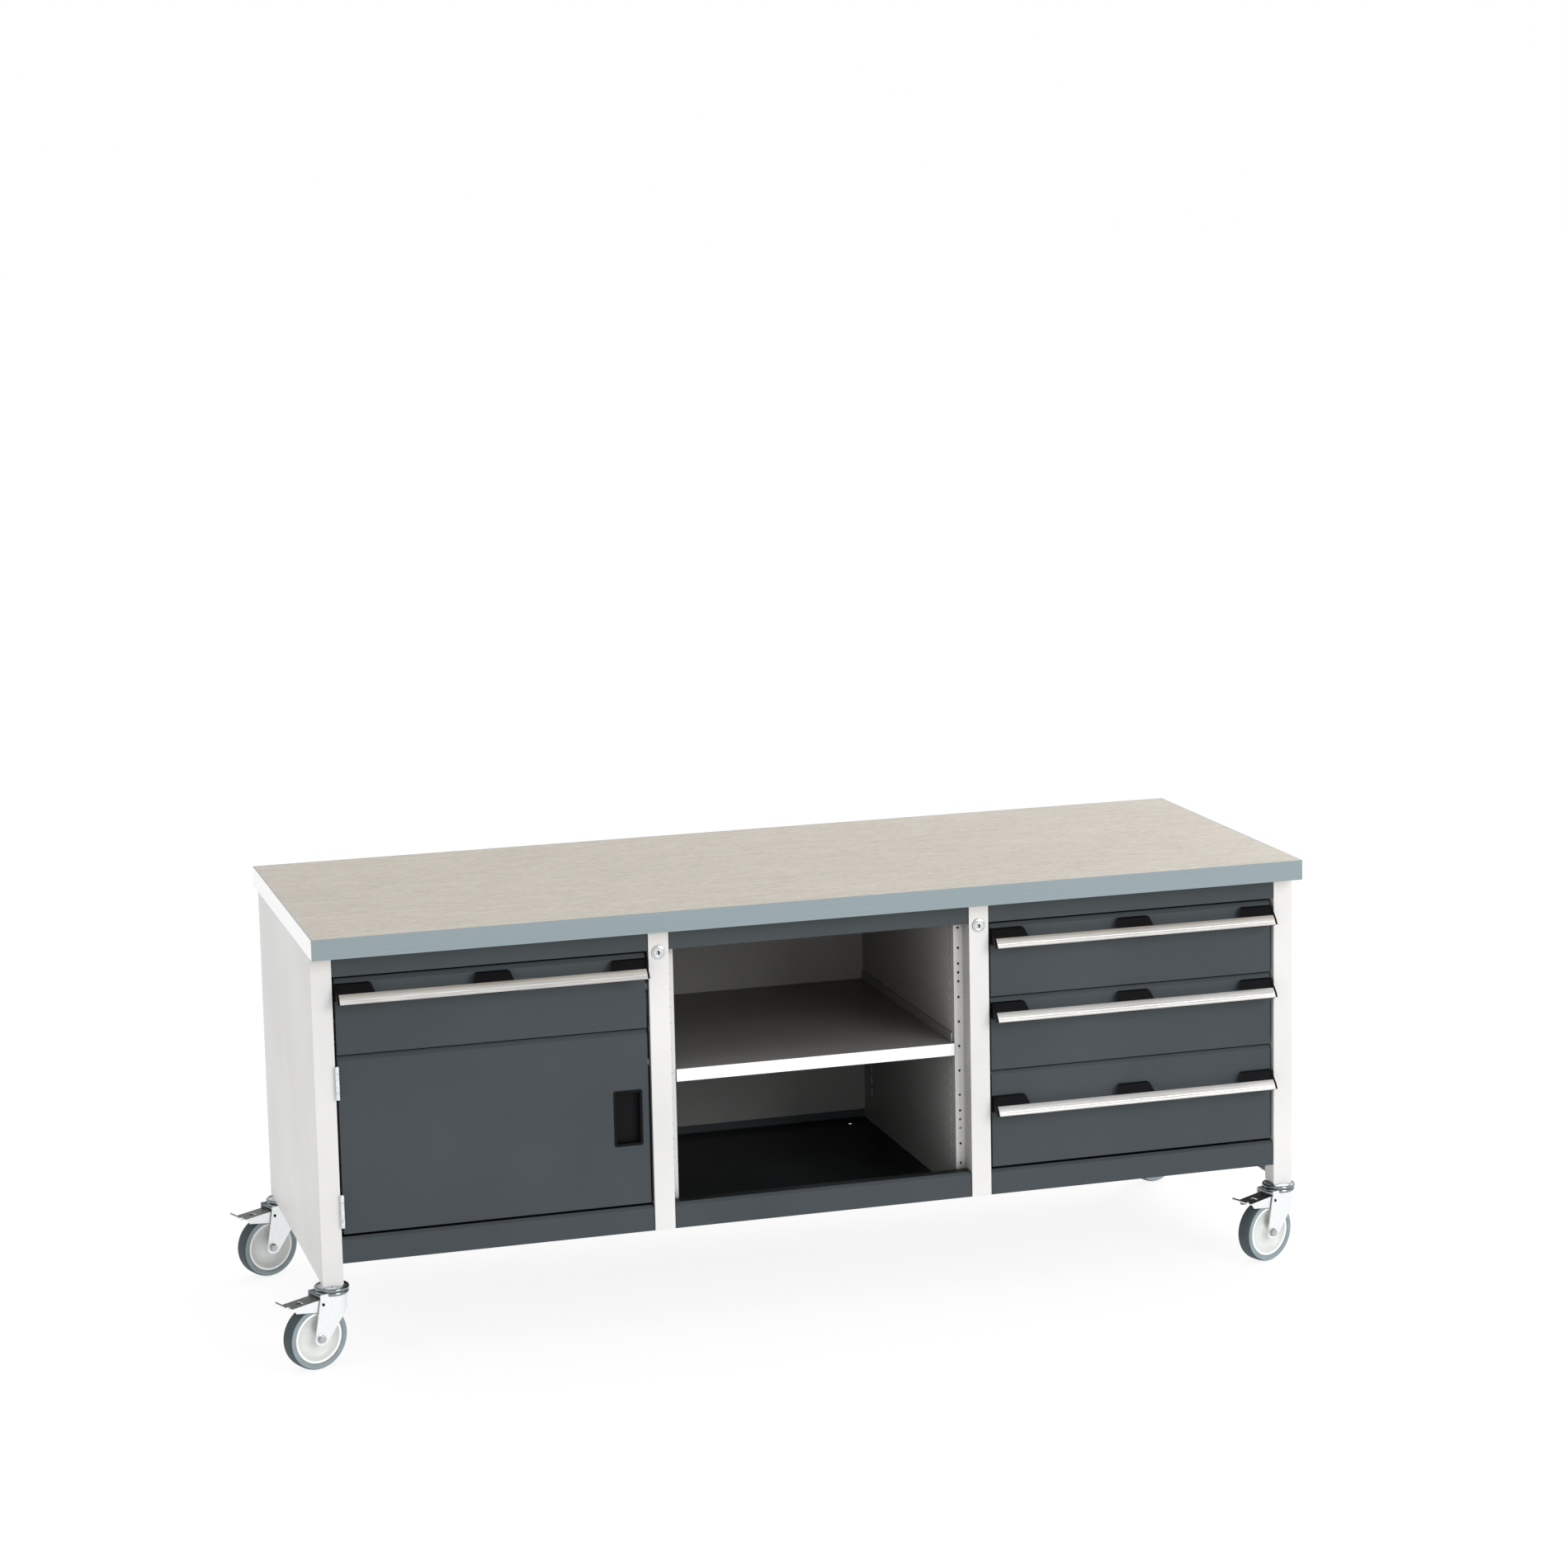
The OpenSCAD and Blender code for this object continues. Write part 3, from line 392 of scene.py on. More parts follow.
@dataclass(frozen=True)
class StreakedLino(Finish):
    """Calendered sheet with fine broken streaks along the worktop and a slow mottle."""

    dark: Colour = (0.3, 0.255, 0.2)
    light: Colour = (0.8, 0.76, 0.7)

    def draw(self, sheet: ShaderSheet) -> None:
        """Draws streaks of two lengths over the mottle."""
        long_streaks = sheet.grain((15.0, 190.0, 40.0), detail=6.0, wander=0.6)
        short_streaks = sheet.grain((60.0, 560.0, 80.0), detail=3.0, shift=11.0, wander=0.4)
        mottle = sheet.grain((5.0, 9.0, 5.0), detail=4.0, shift=4.0)
        ground = sheet.tint(mottle, [(0.32, shaded(self.colour, 0.93)),
                                     (0.7, shaded(self.colour, 1.06))])
        marks = sheet.tint(long_streaks, [(0.3, self.dark), (0.5, self.colour),
                                          (0.72, self.light)])
        fine = sheet.tint(short_streaks, [(0.3, self.dark), (0.52, self.colour),
                                          (0.75, self.light)])
        streaked = sheet.mix(0.5, ground, marks)
        sheet.colour(sheet.mix(0.42, streaked, fine))
        sheet.roughness(sheet.span(long_streaks, 0.3, 0.7, self.roughness - 0.05,
                                   self.roughness + 0.08))
        sheet.relief(short_streaks, 0.05 * MM, 0.4)


@dataclass(frozen=True)
class GlossEdging(Finish):
    """Extruded edging strip with faint draw lines along it, with a painted highlight that makes
    the two ends paler.
    """

    end_highlight_colour: Colour = (0.96, 0.97, 0.96)

    def draw(self, sheet: ShaderSheet) -> None:
        """Draws the draw lines, the painted highlight on the ends and a slight change of gloss."""
        lines = sheet.grain((4.0, 4.0, 900.0), detail=2.0)
        strip = sheet.tint(lines, [(0.3, shaded(self.colour, 0.97)),
                                   (0.7, shaded(self.colour, 1.03))])
        # painted highlight: faces that turn to the ends are mixed towards near white
        sheet.colour(sheet.mix(sheet.facing(Facing.ENDS), strip, self.end_highlight_colour))
        sheet.roughness(sheet.span(lines, 0.3, 0.7, self.roughness, self.roughness + 0.08))
        sheet.relief(lines, 0.01 * MM, 0.3)


@dataclass(frozen=True)
class BirchFace(Finish):
    """Sanded birch face veneer with long pale figure."""

    def draw(self, sheet: ShaderSheet) -> None:
        """Draws the figure and the pores along it."""
        figure = sheet.grain((2.0, 34.0, 34.0), detail=5.0, wander=1.2)
        pores = sheet.grain((24.0, 900.0, 900.0), detail=2.0, shift=3.0)
        wood = sheet.tint(figure, [(0.3, shaded(self.colour, 0.8)), (0.55, self.colour),
                                   (0.75, shaded(self.colour, 1.12))])
        dark = shaded(self.colour, 0.55)
        sheet.colour(sheet.mix(sheet.span(pores, 0.62, 0.75, 0.0, 0.5), wood, dark))
        sheet.roughness(sheet.span(figure, 0.3, 0.7, self.roughness, self.roughness + 0.12))
        sheet.relief(pores, 0.04 * MM, 0.4)


@dataclass(frozen=True)
class ZincPlate(Finish):
    """Zinc plate with faint crystals. Faces that point up can be drawn darker than the walls."""

    crystals: float = 170.0
    contrast: float = 0.1
    gloss_range: float = 0.16
    top_shade: float = 1.0

    def draw(self, sheet: ShaderSheet) -> None:
        """Draws the crystals, the darker tops and fine handling marks."""
        sheet.set(Metallic=1.0)
        spangle = sheet.cells(self.crystals)
        plate = sheet.tint(spangle, [(0.1, shaded(self.colour, 1 - self.contrast)),
                                     (0.9, shaded(self.colour, 1 + self.contrast / 2))])
        if self.top_shade < 1.0:
            top = shaded(self.colour, self.top_shade)
            plate = sheet.mix(sheet.facing(Facing.UP), plate, top)
        sheet.colour(plate)
        marks = sheet.grain(Brushing.EVEN.value, detail=2.0)
        sheet.roughness(sheet.span(spangle, 0.0, 1.0, self.roughness - self.gloss_range / 2,
                                   self.roughness + self.gloss_range / 2))
        sheet.relief(marks, 0.01 * MM, 0.2)


@dataclass(frozen=True)
class PolishedMetal(Finish):
    """Bright plating whose gloss varies a little with handling."""

    def draw(self, sheet: ShaderSheet) -> None:
        """Draws the change of gloss and a very shallow waviness."""
        sheet.set(Metallic=1.0)
        film = sheet.grain((90.0, 90.0, 90.0), detail=4.0)
        sheet.colour(sheet.tint(film, [(0.3, shaded(self.colour, 0.94)),
                                       (0.7, shaded(self.colour, 1.04))]))
        sheet.roughness(sheet.span(film, 0.35, 0.75, self.roughness, self.roughness + 0.1))
        sheet.relief(film, 0.02 * MM, 0.15)


@dataclass(frozen=True)
class BrushedMetal(Finish):
    """Metal brushed in one direction under clear anodising."""

    brushing: Brushing = Brushing.LONG_X
    metallic: float = 0.85

    def draw(self, sheet: ShaderSheet) -> None:
        """Draws the scratches in colour, gloss and height."""
        sheet.set(Metallic=self.metallic, Anisotropic=0.4)
        scratches = sheet.grain(self.brushing.value, detail=3.0)
        sheet.colour(sheet.tint(scratches, [(0.28, shaded(self.colour, 0.82)),
                                            (0.5, self.colour),
                                            (0.74, shaded(self.colour, 1.1))]))
        sheet.roughness(sheet.span(scratches, 0.3, 0.7, self.roughness - 0.07,
                                   self.roughness + 0.1))
        sheet.relief(scratches, 0.02 * MM, 0.45)


@dataclass(frozen=True)
class Moulding(Finish):
    """Moulded plastic or rubber with a spark-eroded skin and a trace of flow."""

    skin: float = 0.8 * MM
    depth: float = 0.03 * MM
    drift: float = 0.08

    def draw(self, sheet: ShaderSheet) -> None:
        """Draws the flow of the material and its skin."""
        flow = sheet.grain((22.0, 22.0, 22.0), detail=3.0, wander=0.8)
        sheet.colour(sheet.tint(flow, [(0.3, shaded(self.colour, 1 - self.drift)),
                                       (0.7, shaded(self.colour, 1 + self.drift))]))
        cells = 1 / self.skin
        pits = sheet.grain((cells, cells, cells), detail=1.0)
        sheet.roughness(sheet.span(pits, 0.3, 0.7, self.roughness - 0.05, self.roughness + 0.07))
        sheet.relief(pits, self.depth, 0.5)


LIGHT_GREY: Colour = (0.69, 0.685, 0.675)
ANTHRACITE: Colour = (0.048, 0.058, 0.064)
ZINC: Colour = (0.87, 0.89, 0.9)


@dataclass(frozen=True)
class Palette:
    """Every finish on the bench."""

    light_paint: Finish = PowderCoat("light_grey_powder_coat", "light_grey_paint", LIGHT_GREY,
                                     0.4, 0.3)
    # painted shade: the bay, shelf and dark bay coats are darkened by occlusion inside the bays
    bay_shaded_paint: Finish = PowderCoat("bay_light_grey_coat_painted_shade", "light_grey_paint", LIGHT_GREY,
                                   0.4, 0.3, shade_reach=0.6, shade_grey=0.54)
    shelf_shaded_paint: Finish = PowderCoat("shelf_coat_painted_shade", "light_grey_paint",
                                     (0.94, 0.94, 0.94), 0.4, 0.3, shade_reach=0.6,
                                     shade_grey=0.28, open_front=True)
    front_paint: Finish = PowderCoat("anthracite_powder_coat", "anthracite_paint", ANTHRACITE,
                                     0.42, 0.2, drift=0.06)
    bay_shaded_dark_paint: Finish = PowderCoat("bay_anthracite_coat_painted_shade", "anthracite_paint",
                                        ANTHRACITE, 0.42, 0.2, drift=0.06, shade_reach=0.35,
                                        shade_grey=0.12, open_front=True)
    box_paint: Finish = PowderCoat("drawer_box_powder_coat", "drawer_box_paint",
                                   (0.66, 0.66, 0.65), 0.42, 0.4)
    lino: Finish = StreakedLino("streaked_beige_lino", "worktop_surface",
                                (0.6, 0.555, 0.485), 0.5, 0.25)
    # the edging's ends carry a painted highlight
    edging: Finish = GlossEdging("blue_grey_edging", "worktop_edging",
                                 (0.235, 0.29, 0.31), 0.2, 0.4)
    birch: Finish = BirchFace("birch_face", "birch_core", (0.62, 0.5, 0.35), 0.5, 0.35)
    zinc: Finish = ZincPlate("bright_zinc", "zinc_plate", (0.78, 0.8, 0.82), 0.32)
    fork_zinc: Finish = ZincPlate("pressed_zinc", "zinc_plate", ZINC, 0.36, crystals=320.0,
                                  contrast=0.03, gloss_range=0.05)
    pedal_zinc: Finish = ZincPlate("pedal_zinc", "zinc_plate", ZINC, 0.36, crystals=320.0,
                                   contrast=0.03, gloss_range=0.05, top_shade=0.15)
    # painted reflection: the head rings' plating is drawn far darker than the other zinc plate,
    # standing in for the dark surroundings it would reflect
    ring_painted_reflection: Finish = PolishedMetal("ring_plating_painted_reflection", "zinc_plate", (0.26, 0.29, 0.3), 0.1)
    # painted shade: the axle bolts' plating is drawn darker than the other zinc plate
    bolt_painted_shade: Finish = PolishedMetal("bolt_plating_painted_shade", "zinc_plate", (0.5, 0.53, 0.54), 0.2)
    chrome: Finish = PolishedMetal("lock_chrome", "chrome", (0.66, 0.69, 0.7), 0.12)
    aluminium: Finish = BrushedMetal("brushed_bar_aluminium", "brushed_aluminium",
                                     (0.66, 0.65, 0.63), 0.38)
    black: Finish = Moulding("eroded_black_plastic", "black_plastic",
                             (0.004, 0.004, 0.005), 0.5, 0.1)
    # painted shade: the dished centre is drawn darker than the rim ring, for the shade in its
    # recess
    nylon: Finish = Moulding("dished_centre_nylon_painted_shade", "ivory_nylon", (0.66, 0.68, 0.655), 0.3, 0.4,
                             skin=1.6 * MM, depth=0.02 * MM, drift=0.02)
    rim_nylon: Finish = Moulding("rim_ring_nylon", "ivory_nylon", (0.9, 0.91, 0.9), 0.3, 0.4,
                                 skin=1.6 * MM, depth=0.02 * MM, drift=0.01)
    sidewall: Finish = Moulding("tyre_sidewall", "grey_rubber", (0.24, 0.29, 0.305), 0.6, 0.25)
    tread: Finish = Moulding("tyre_tread", "grey_rubber", (0.062, 0.082, 0.088), 0.65, 0.2,
                             depth=0.06 * MM)


# ------------------------------------------------------------------ mesh tools


def piece_from(name: str, mesh: bmesh.types.BMesh, body: str, *finishes: Finish
               ) -> bpy.types.Object:
    """Makes a piece from a mesh, dresses it, and lets it ride on its body.

    Args:
        name: Name of the piece.
        mesh: The mesh in the model's frame. It is freed.
        body: Body that the piece moves with.
        finishes: Its finishes, in the order of the faces' material numbers.

    Returns:
        The piece.
    """
    bmesh.ops.recalc_face_normals(mesh, faces=mesh.faces[:])
    data = bpy.data.meshes.new(name)
    mesh.to_mesh(data)
    mesh.free()
    piece = bpy.data.objects.new(name, data)
    bpy.context.scene.collection.objects.link(piece)
    for finish in finishes:
        data.materials.append(finish.material())
    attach(piece, body)
    return piece


def soften(piece: bpy.types.Object, width: float, segments: int = 2,
           flatten: bool = False) -> None:
    """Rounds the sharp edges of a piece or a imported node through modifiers.

    Args:
        piece: The object.
        width: Width of the rounding.
        segments: Steps across it.
        flatten: Whether flat faces are joined first.
    """
    weld = piece.modifiers.new("weld", "WELD")
    weld.merge_threshold = WELD_REACH
    if flatten:
        flat = piece.modifiers.new("flat_faces", "DECIMATE")
        flat.decimate_type = "DISSOLVE"
        flat.angle_limit = math.radians(FLAT_ANGLE)
    edges = piece.modifiers.new("rounded_edges", "BEVEL")
    edges.width = width
    edges.segments = segments
    edges.limit_method = "ANGLE"
    edges.angle_limit = math.radians(BEVEL_ANGLE)
    edges.miter_outer = "MITER_ARC"
    even = piece.modifiers.new("even_faces", "WEIGHTED_NORMAL")
    even.keep_sharp = False
    even.weight = 100


def smooth(piece: bpy.types.Object, angle: float = 35.0) -> None:
    """Shades a piece smooth, with creases where its faces turn sharply.

    Args:
        piece: The object.
        angle: Turn in degrees from which an edge stays a crease.
    """
    data = piece.data
    data.shade_smooth()
    data.set_sharp_from_angle(angle=math.radians(angle))


def turned(name: str, profile: Sequence[Point2], place: Matrix, body: str, *finishes: Finish,
           steps: int = 96, finish_of: Callable[[float, float], int] | None = None,
           closed: bool = True) -> bpy.types.Object:
    """Turns a profile round an axis.

    Args:
        name: Name of the piece.
        profile: Points as radius and distance along the axis.
        place: Frame whose Z is the axis and whose origin is the axis's zero.
        body: Body that the piece rides on.
        finishes: Finishes by number.
        steps: Steps round the axis.
        finish_of: Number of the finish, from a face's middle radius and distance.
        closed: Whether the last point joins the first.

    Returns:
        The piece.
    """
    mesh = bmesh.new()
    rings = []
    for radius, along in profile:
        rings.append([mesh.verts.new(place @ Vector((radius * math.cos(a), radius * math.sin(a),
                                                     along)))
                      for a in (2 * math.pi * i / steps for i in range(steps))])
    count = len(rings) if closed else len(rings) - 1
    for r in range(count):
        near, far = rings[r], rings[(r + 1) % len(rings)]
        first, second = profile[r], profile[(r + 1) % len(profile)]
        number = finish_of((first[0] + second[0]) / 2, (first[1] + second[1]) / 2) \
            if finish_of else 0
        for i in range(steps):
            j = (i + 1) % steps
            face = mesh.faces.new((near[i], near[j], far[j], far[i]))
            face.material_index = number
    piece = piece_from(name, mesh, body, *finishes)
    smooth(piece)
    return piece


def extruded(name: str, outline: Sequence[Point2], start: float, end: float,
             corner: Callable[[float, float, float], Vector], body: str, *finishes: Finish
             ) -> bpy.types.Object:
    """Runs a closed outline along an axis.

    Args:
        name: Name of the piece.
        outline: Points of the outline.
        start: Where it starts on the axis.
        end: Where it ends on the axis.
        corner: Place of an outline point at a distance along the axis.
        body: Body that the piece rides on.
        finishes: Finishes by number.

    Returns:
        The piece.
    """
    mesh = bmesh.new()
    near = [mesh.verts.new(corner(a, b, start)) for a, b in outline]
    far = [mesh.verts.new(corner(a, b, end)) for a, b in outline]
    for i in range(len(outline)):
        j = (i + 1) % len(outline)
        mesh.faces.new((near[i], near[j], far[j], far[i]))
    mesh.faces.new(list(reversed(near)))
    mesh.faces.new(far)
    return piece_from(name, mesh, body, *finishes)


def both_faces(half_profile: Iterable[Point2]) -> list[Point2]:
    """A wheel's profile, closed by its own mirror image across the wheel's middle."""
    points = list(half_profile)
    return points + [(radius, -along) for radius, along in reversed(points)]


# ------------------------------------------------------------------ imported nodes


@dataclass
class SheetMetal:
    """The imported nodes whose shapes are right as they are: they get finishes and soft edges."""

    palette: Palette
    fold_radius: float = 0.5 * MM
    board_edge: float = 0.6 * MM
    plastic_edge: float = 0.8 * MM

    def groups(self) -> list[tuple[Finish, float, list[str]]]:
        """The finish, edge rounding and nodes of each group.

        Returns:
            One entry for each group.
        """
        p = self.palette
        drawers = [d.value for d in Drawer]
        corners = [c.value for c in Corner]
        return [
            (p.birch, self.board_edge, ["worktop_board"]),
            (p.lino, 0.3 * MM, ["worktop_surface"]),
            (p.edging, self.board_edge, ["worktop_edging"]),
            (p.light_paint, self.fold_radius, ["left_end_frame", "right_end_frame"]),
            (p.bay_shaded_paint, 0.0, ["left_partition", "right_partition", "back_panels"]),
            (p.bay_shaded_dark_paint, self.fold_radius, ["top_rails", "base_trays"]),
            (p.front_paint, self.fold_radius, ["door_panel", *(f"{d}_front" for d in drawers)]),
            (p.shelf_shaded_paint, self.fold_radius, ["shelf"]),
            (p.box_paint, 0.3 * MM, [f"{d}_box" for d in drawers]),
            (p.black, 0.3 * MM, [f"{d}_handle_brackets" for d in drawers]),
            (p.black, self.plastic_edge, ["door_pull"]),
            (p.zinc, 0.25 * MM, ["shelf_clips", "cabinet_runners", "hinge_frame_leaves",
                                 "hinge_pins", "door_hinge_leaves", "left_lock_bar",
                                 "right_lock_bar"]),
            (p.chrome, 0.25 * MM, ["left_lock_barrel", "right_lock_barrel"]),
            (p.fork_zinc, 0.5 * MM, [f"{c}_fork" for c in corners]),
            (p.bolt_painted_shade, 0.5 * MM, [f"{c}_axle" for c in corners]),
            (p.pedal_zinc, 0.4 * MM, [f"{c}_brake_pedal" for c in corners]),
        ]

    def pressed(self) -> tuple[Finish, ...]:
        """Finishes of the parts whose flat faces are joined before their edges are rounded."""
        p = self.palette
        return p.fork_zinc, p.pedal_zinc, p.front_paint, p.shelf_shaded_paint

    def dress(self, nodes: dict[str, bpy.types.Object]) -> int:
        """Gives every listed node its finish and its soft edges.

        Args:
            nodes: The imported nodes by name.

        Returns:
            How many nodes were dressed.
        """
        count = 0
        for finish, width, names in self.groups():
            for name in names:
                node = nodes[name]
                node.data.materials.clear()
                node.data.materials.append(finish.material())
                if width > 0:
                    soften(node, width, flatten=finish in self.pressed())
                count += 1
        return count


# ------------------------------------------------------------------ handles


@dataclass
class HandleBar:
    """Full-width aluminium bar with a crowned face, a groove and a bright lower lip."""

    drawer: Drawer
    palette: Palette
    crown: float = 1.2 * MM
    wall: float = 3.0 * MM
    lip: float = 0.7 * MM
    steps: int = 24

    def face(self, top: Vector, bottom: Vector) -> list[Point2]:
        """Points of the crowned face from its upper to its lower edge.

        Args:
            top: Upper edge, in Y and Z.
            bottom: Lower edge, in Y and Z.

        Returns:
            The points in Y and Z.
        """
        run = bottom - top
        out = Vector((run.y, -run.x)).normalized()
        if out.x > 0:
            out = -out
        points = []
        for i in range(self.steps + 1):
            t = i / self.steps
            swell = 4 * self.crown * t * (1 - t)
            if i == round(self.steps * 0.66):
                swell -= 0.25 * MM
            points.append(tuple(top + run * t + out * swell))
        tip = bottom + out * self.lip
        down = run.normalized() * 1.8 * MM
        points[-2:] = [tuple(bottom - down + out * 0.3 * MM), tuple(tip - down * 0.8),
                       tuple(tip), tuple(bottom + down * 0.1)]
        return points

    def build(self) -> bpy.types.Object:
        """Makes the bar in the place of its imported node.

        Returns:
            The bar.
        """
        node = f"{self.drawer.value}_handle_bar"
        low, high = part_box(node)
        # outer face runs from the highest point at the back to the lowest point at the front
        out = Vector((0.77, 0.64)) * self.wall
        top = Vector((high.y - out.x, high.z))
        bottom = Vector((low.y, low.z + out.y))
        face = self.face(top, bottom)
        back = [(y + out.x, z - out.y) for y, z in (face[i] for i in range(len(face) - 4, -1, -1))]
        bar = extruded(f"{node}_brushed", face + back, low.x, high.x,
                       lambda y, z, x: Vector((x, y, z)), self.drawer.value,
                       self.palette.aluminium)
        smooth(bar, 25.0)
        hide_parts(node)
        return bar


# ------------------------------------------------------------------ locks


@dataclass
class Lock:
    """Cylinder lock in a post: a rounded bezel, and the stepped face and keyway of its barrel,
    with painted shade drawn in black in the grooves and the keyway.
    """

    side: Side
    palette: Palette
    joints: dict[str, dict]
    rim: float = 13.5 * MM
    bore: float = 10.05 * MM
    key_w: float = 3.6 * MM
    key_h: float = 8.4 * MM

    def frame(self, y: float) -> Matrix:
        """Frame on the barrel's axis whose Z points out of the bench.

        Args:
            y: Place along Y.

        Returns:
            The frame.
        """
        x, _, z = self.joints[f"{self.side.value}_lock_turn"]["pos_m"]
        return Matrix.Translation((x, y, z)) @ Matrix.Rotation(math.radians(90), 4, "X")

    def build(self, bezel_stands_for_node: bool) -> list[bpy.types.Object]:
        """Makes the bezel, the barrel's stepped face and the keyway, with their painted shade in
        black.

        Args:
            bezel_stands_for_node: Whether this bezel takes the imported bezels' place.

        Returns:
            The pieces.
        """
        face_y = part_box("lock_bezels")[0].y
        barrel_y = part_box(f"{self.side.value}_lock_barrel")[0].y
        r, b = self.rim, self.bore
        profile = [(b, 0.0), (b + 0.5 * MM, 0.35 * MM), (b + 1.3 * MM, 0.1 * MM),
                   (r - 1.3 * MM, 0.0), (r - 0.5 * MM, -0.25 * MM), (r - 0.1 * MM, -0.8 * MM),
                   (r, -1.4 * MM), (r, -2.4 * MM), (r - 1.5 * MM, -2.5 * MM),
                   (r - 1.5 * MM, -14 * MM), (b, -14 * MM)]
        name = self.side.value
        # painted shade: faces at the bore's groove and round the outer edge get the black finish
        bezel = turned(f"{name}_lock_bezel_ring", profile, self.frame(face_y), "bench",
                       self.palette.chrome, self.palette.black, steps=72,
                       finish_of=lambda a, w: int(a < b + 0.6 * MM or a > r - 0.3 * MM))
        if bezel_stands_for_node:
            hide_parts("lock_bezels")
        step = [(3.2 * MM, 0.25 * MM), (4.6 * MM, 0.3 * MM), (5.0 * MM, 0.05 * MM),
                (8.6 * MM, 0.05 * MM), (9.0 * MM, 0.3 * MM), (9.6 * MM, 0.2 * MM),
                (9.6 * MM, -0.4 * MM), (3.2 * MM, -0.4 * MM)]
        # painted shade: a black ring on the slope of the barrel face's step
        face = turned(f"{name}_lock_face", step, self.frame(barrel_y), f"{name}_lock",
                      self.palette.chrome, self.palette.black, steps=72,
                      finish_of=lambda a, w: int(abs(a - 4.8 * MM) < 0.3 * MM))
        place = self.frame(barrel_y)
        outline = self.slot_outline()
        # painted shade: a black plate in the keyway's outline stands in for the shade inside the
        # keyway
        keyway = extruded(f"{name}_lock_keyway_shade", outline, -0.3 * MM, 0.34 * MM,
                          lambda u, v, w: place @ Vector((u, v, w)), f"{name}_lock",
                          self.palette.black)
        return [bezel, face, keyway]

    def slot_outline(self) -> list[Point2]:
        """Outline of the upright keyway with its round ends.

        Returns:
            The points across and up.
        """
        r, straight = self.key_w / 2, self.key_h / 2 - self.key_w / 2
        arc = [math.pi * i / 12 for i in range(13)]
        return [(r * math.cos(a), straight + r * math.sin(a)) for a in arc] + \
               [(-r * math.cos(a), -straight - r * math.sin(a)) for a in arc]


# ------------------------------------------------------------------ casters


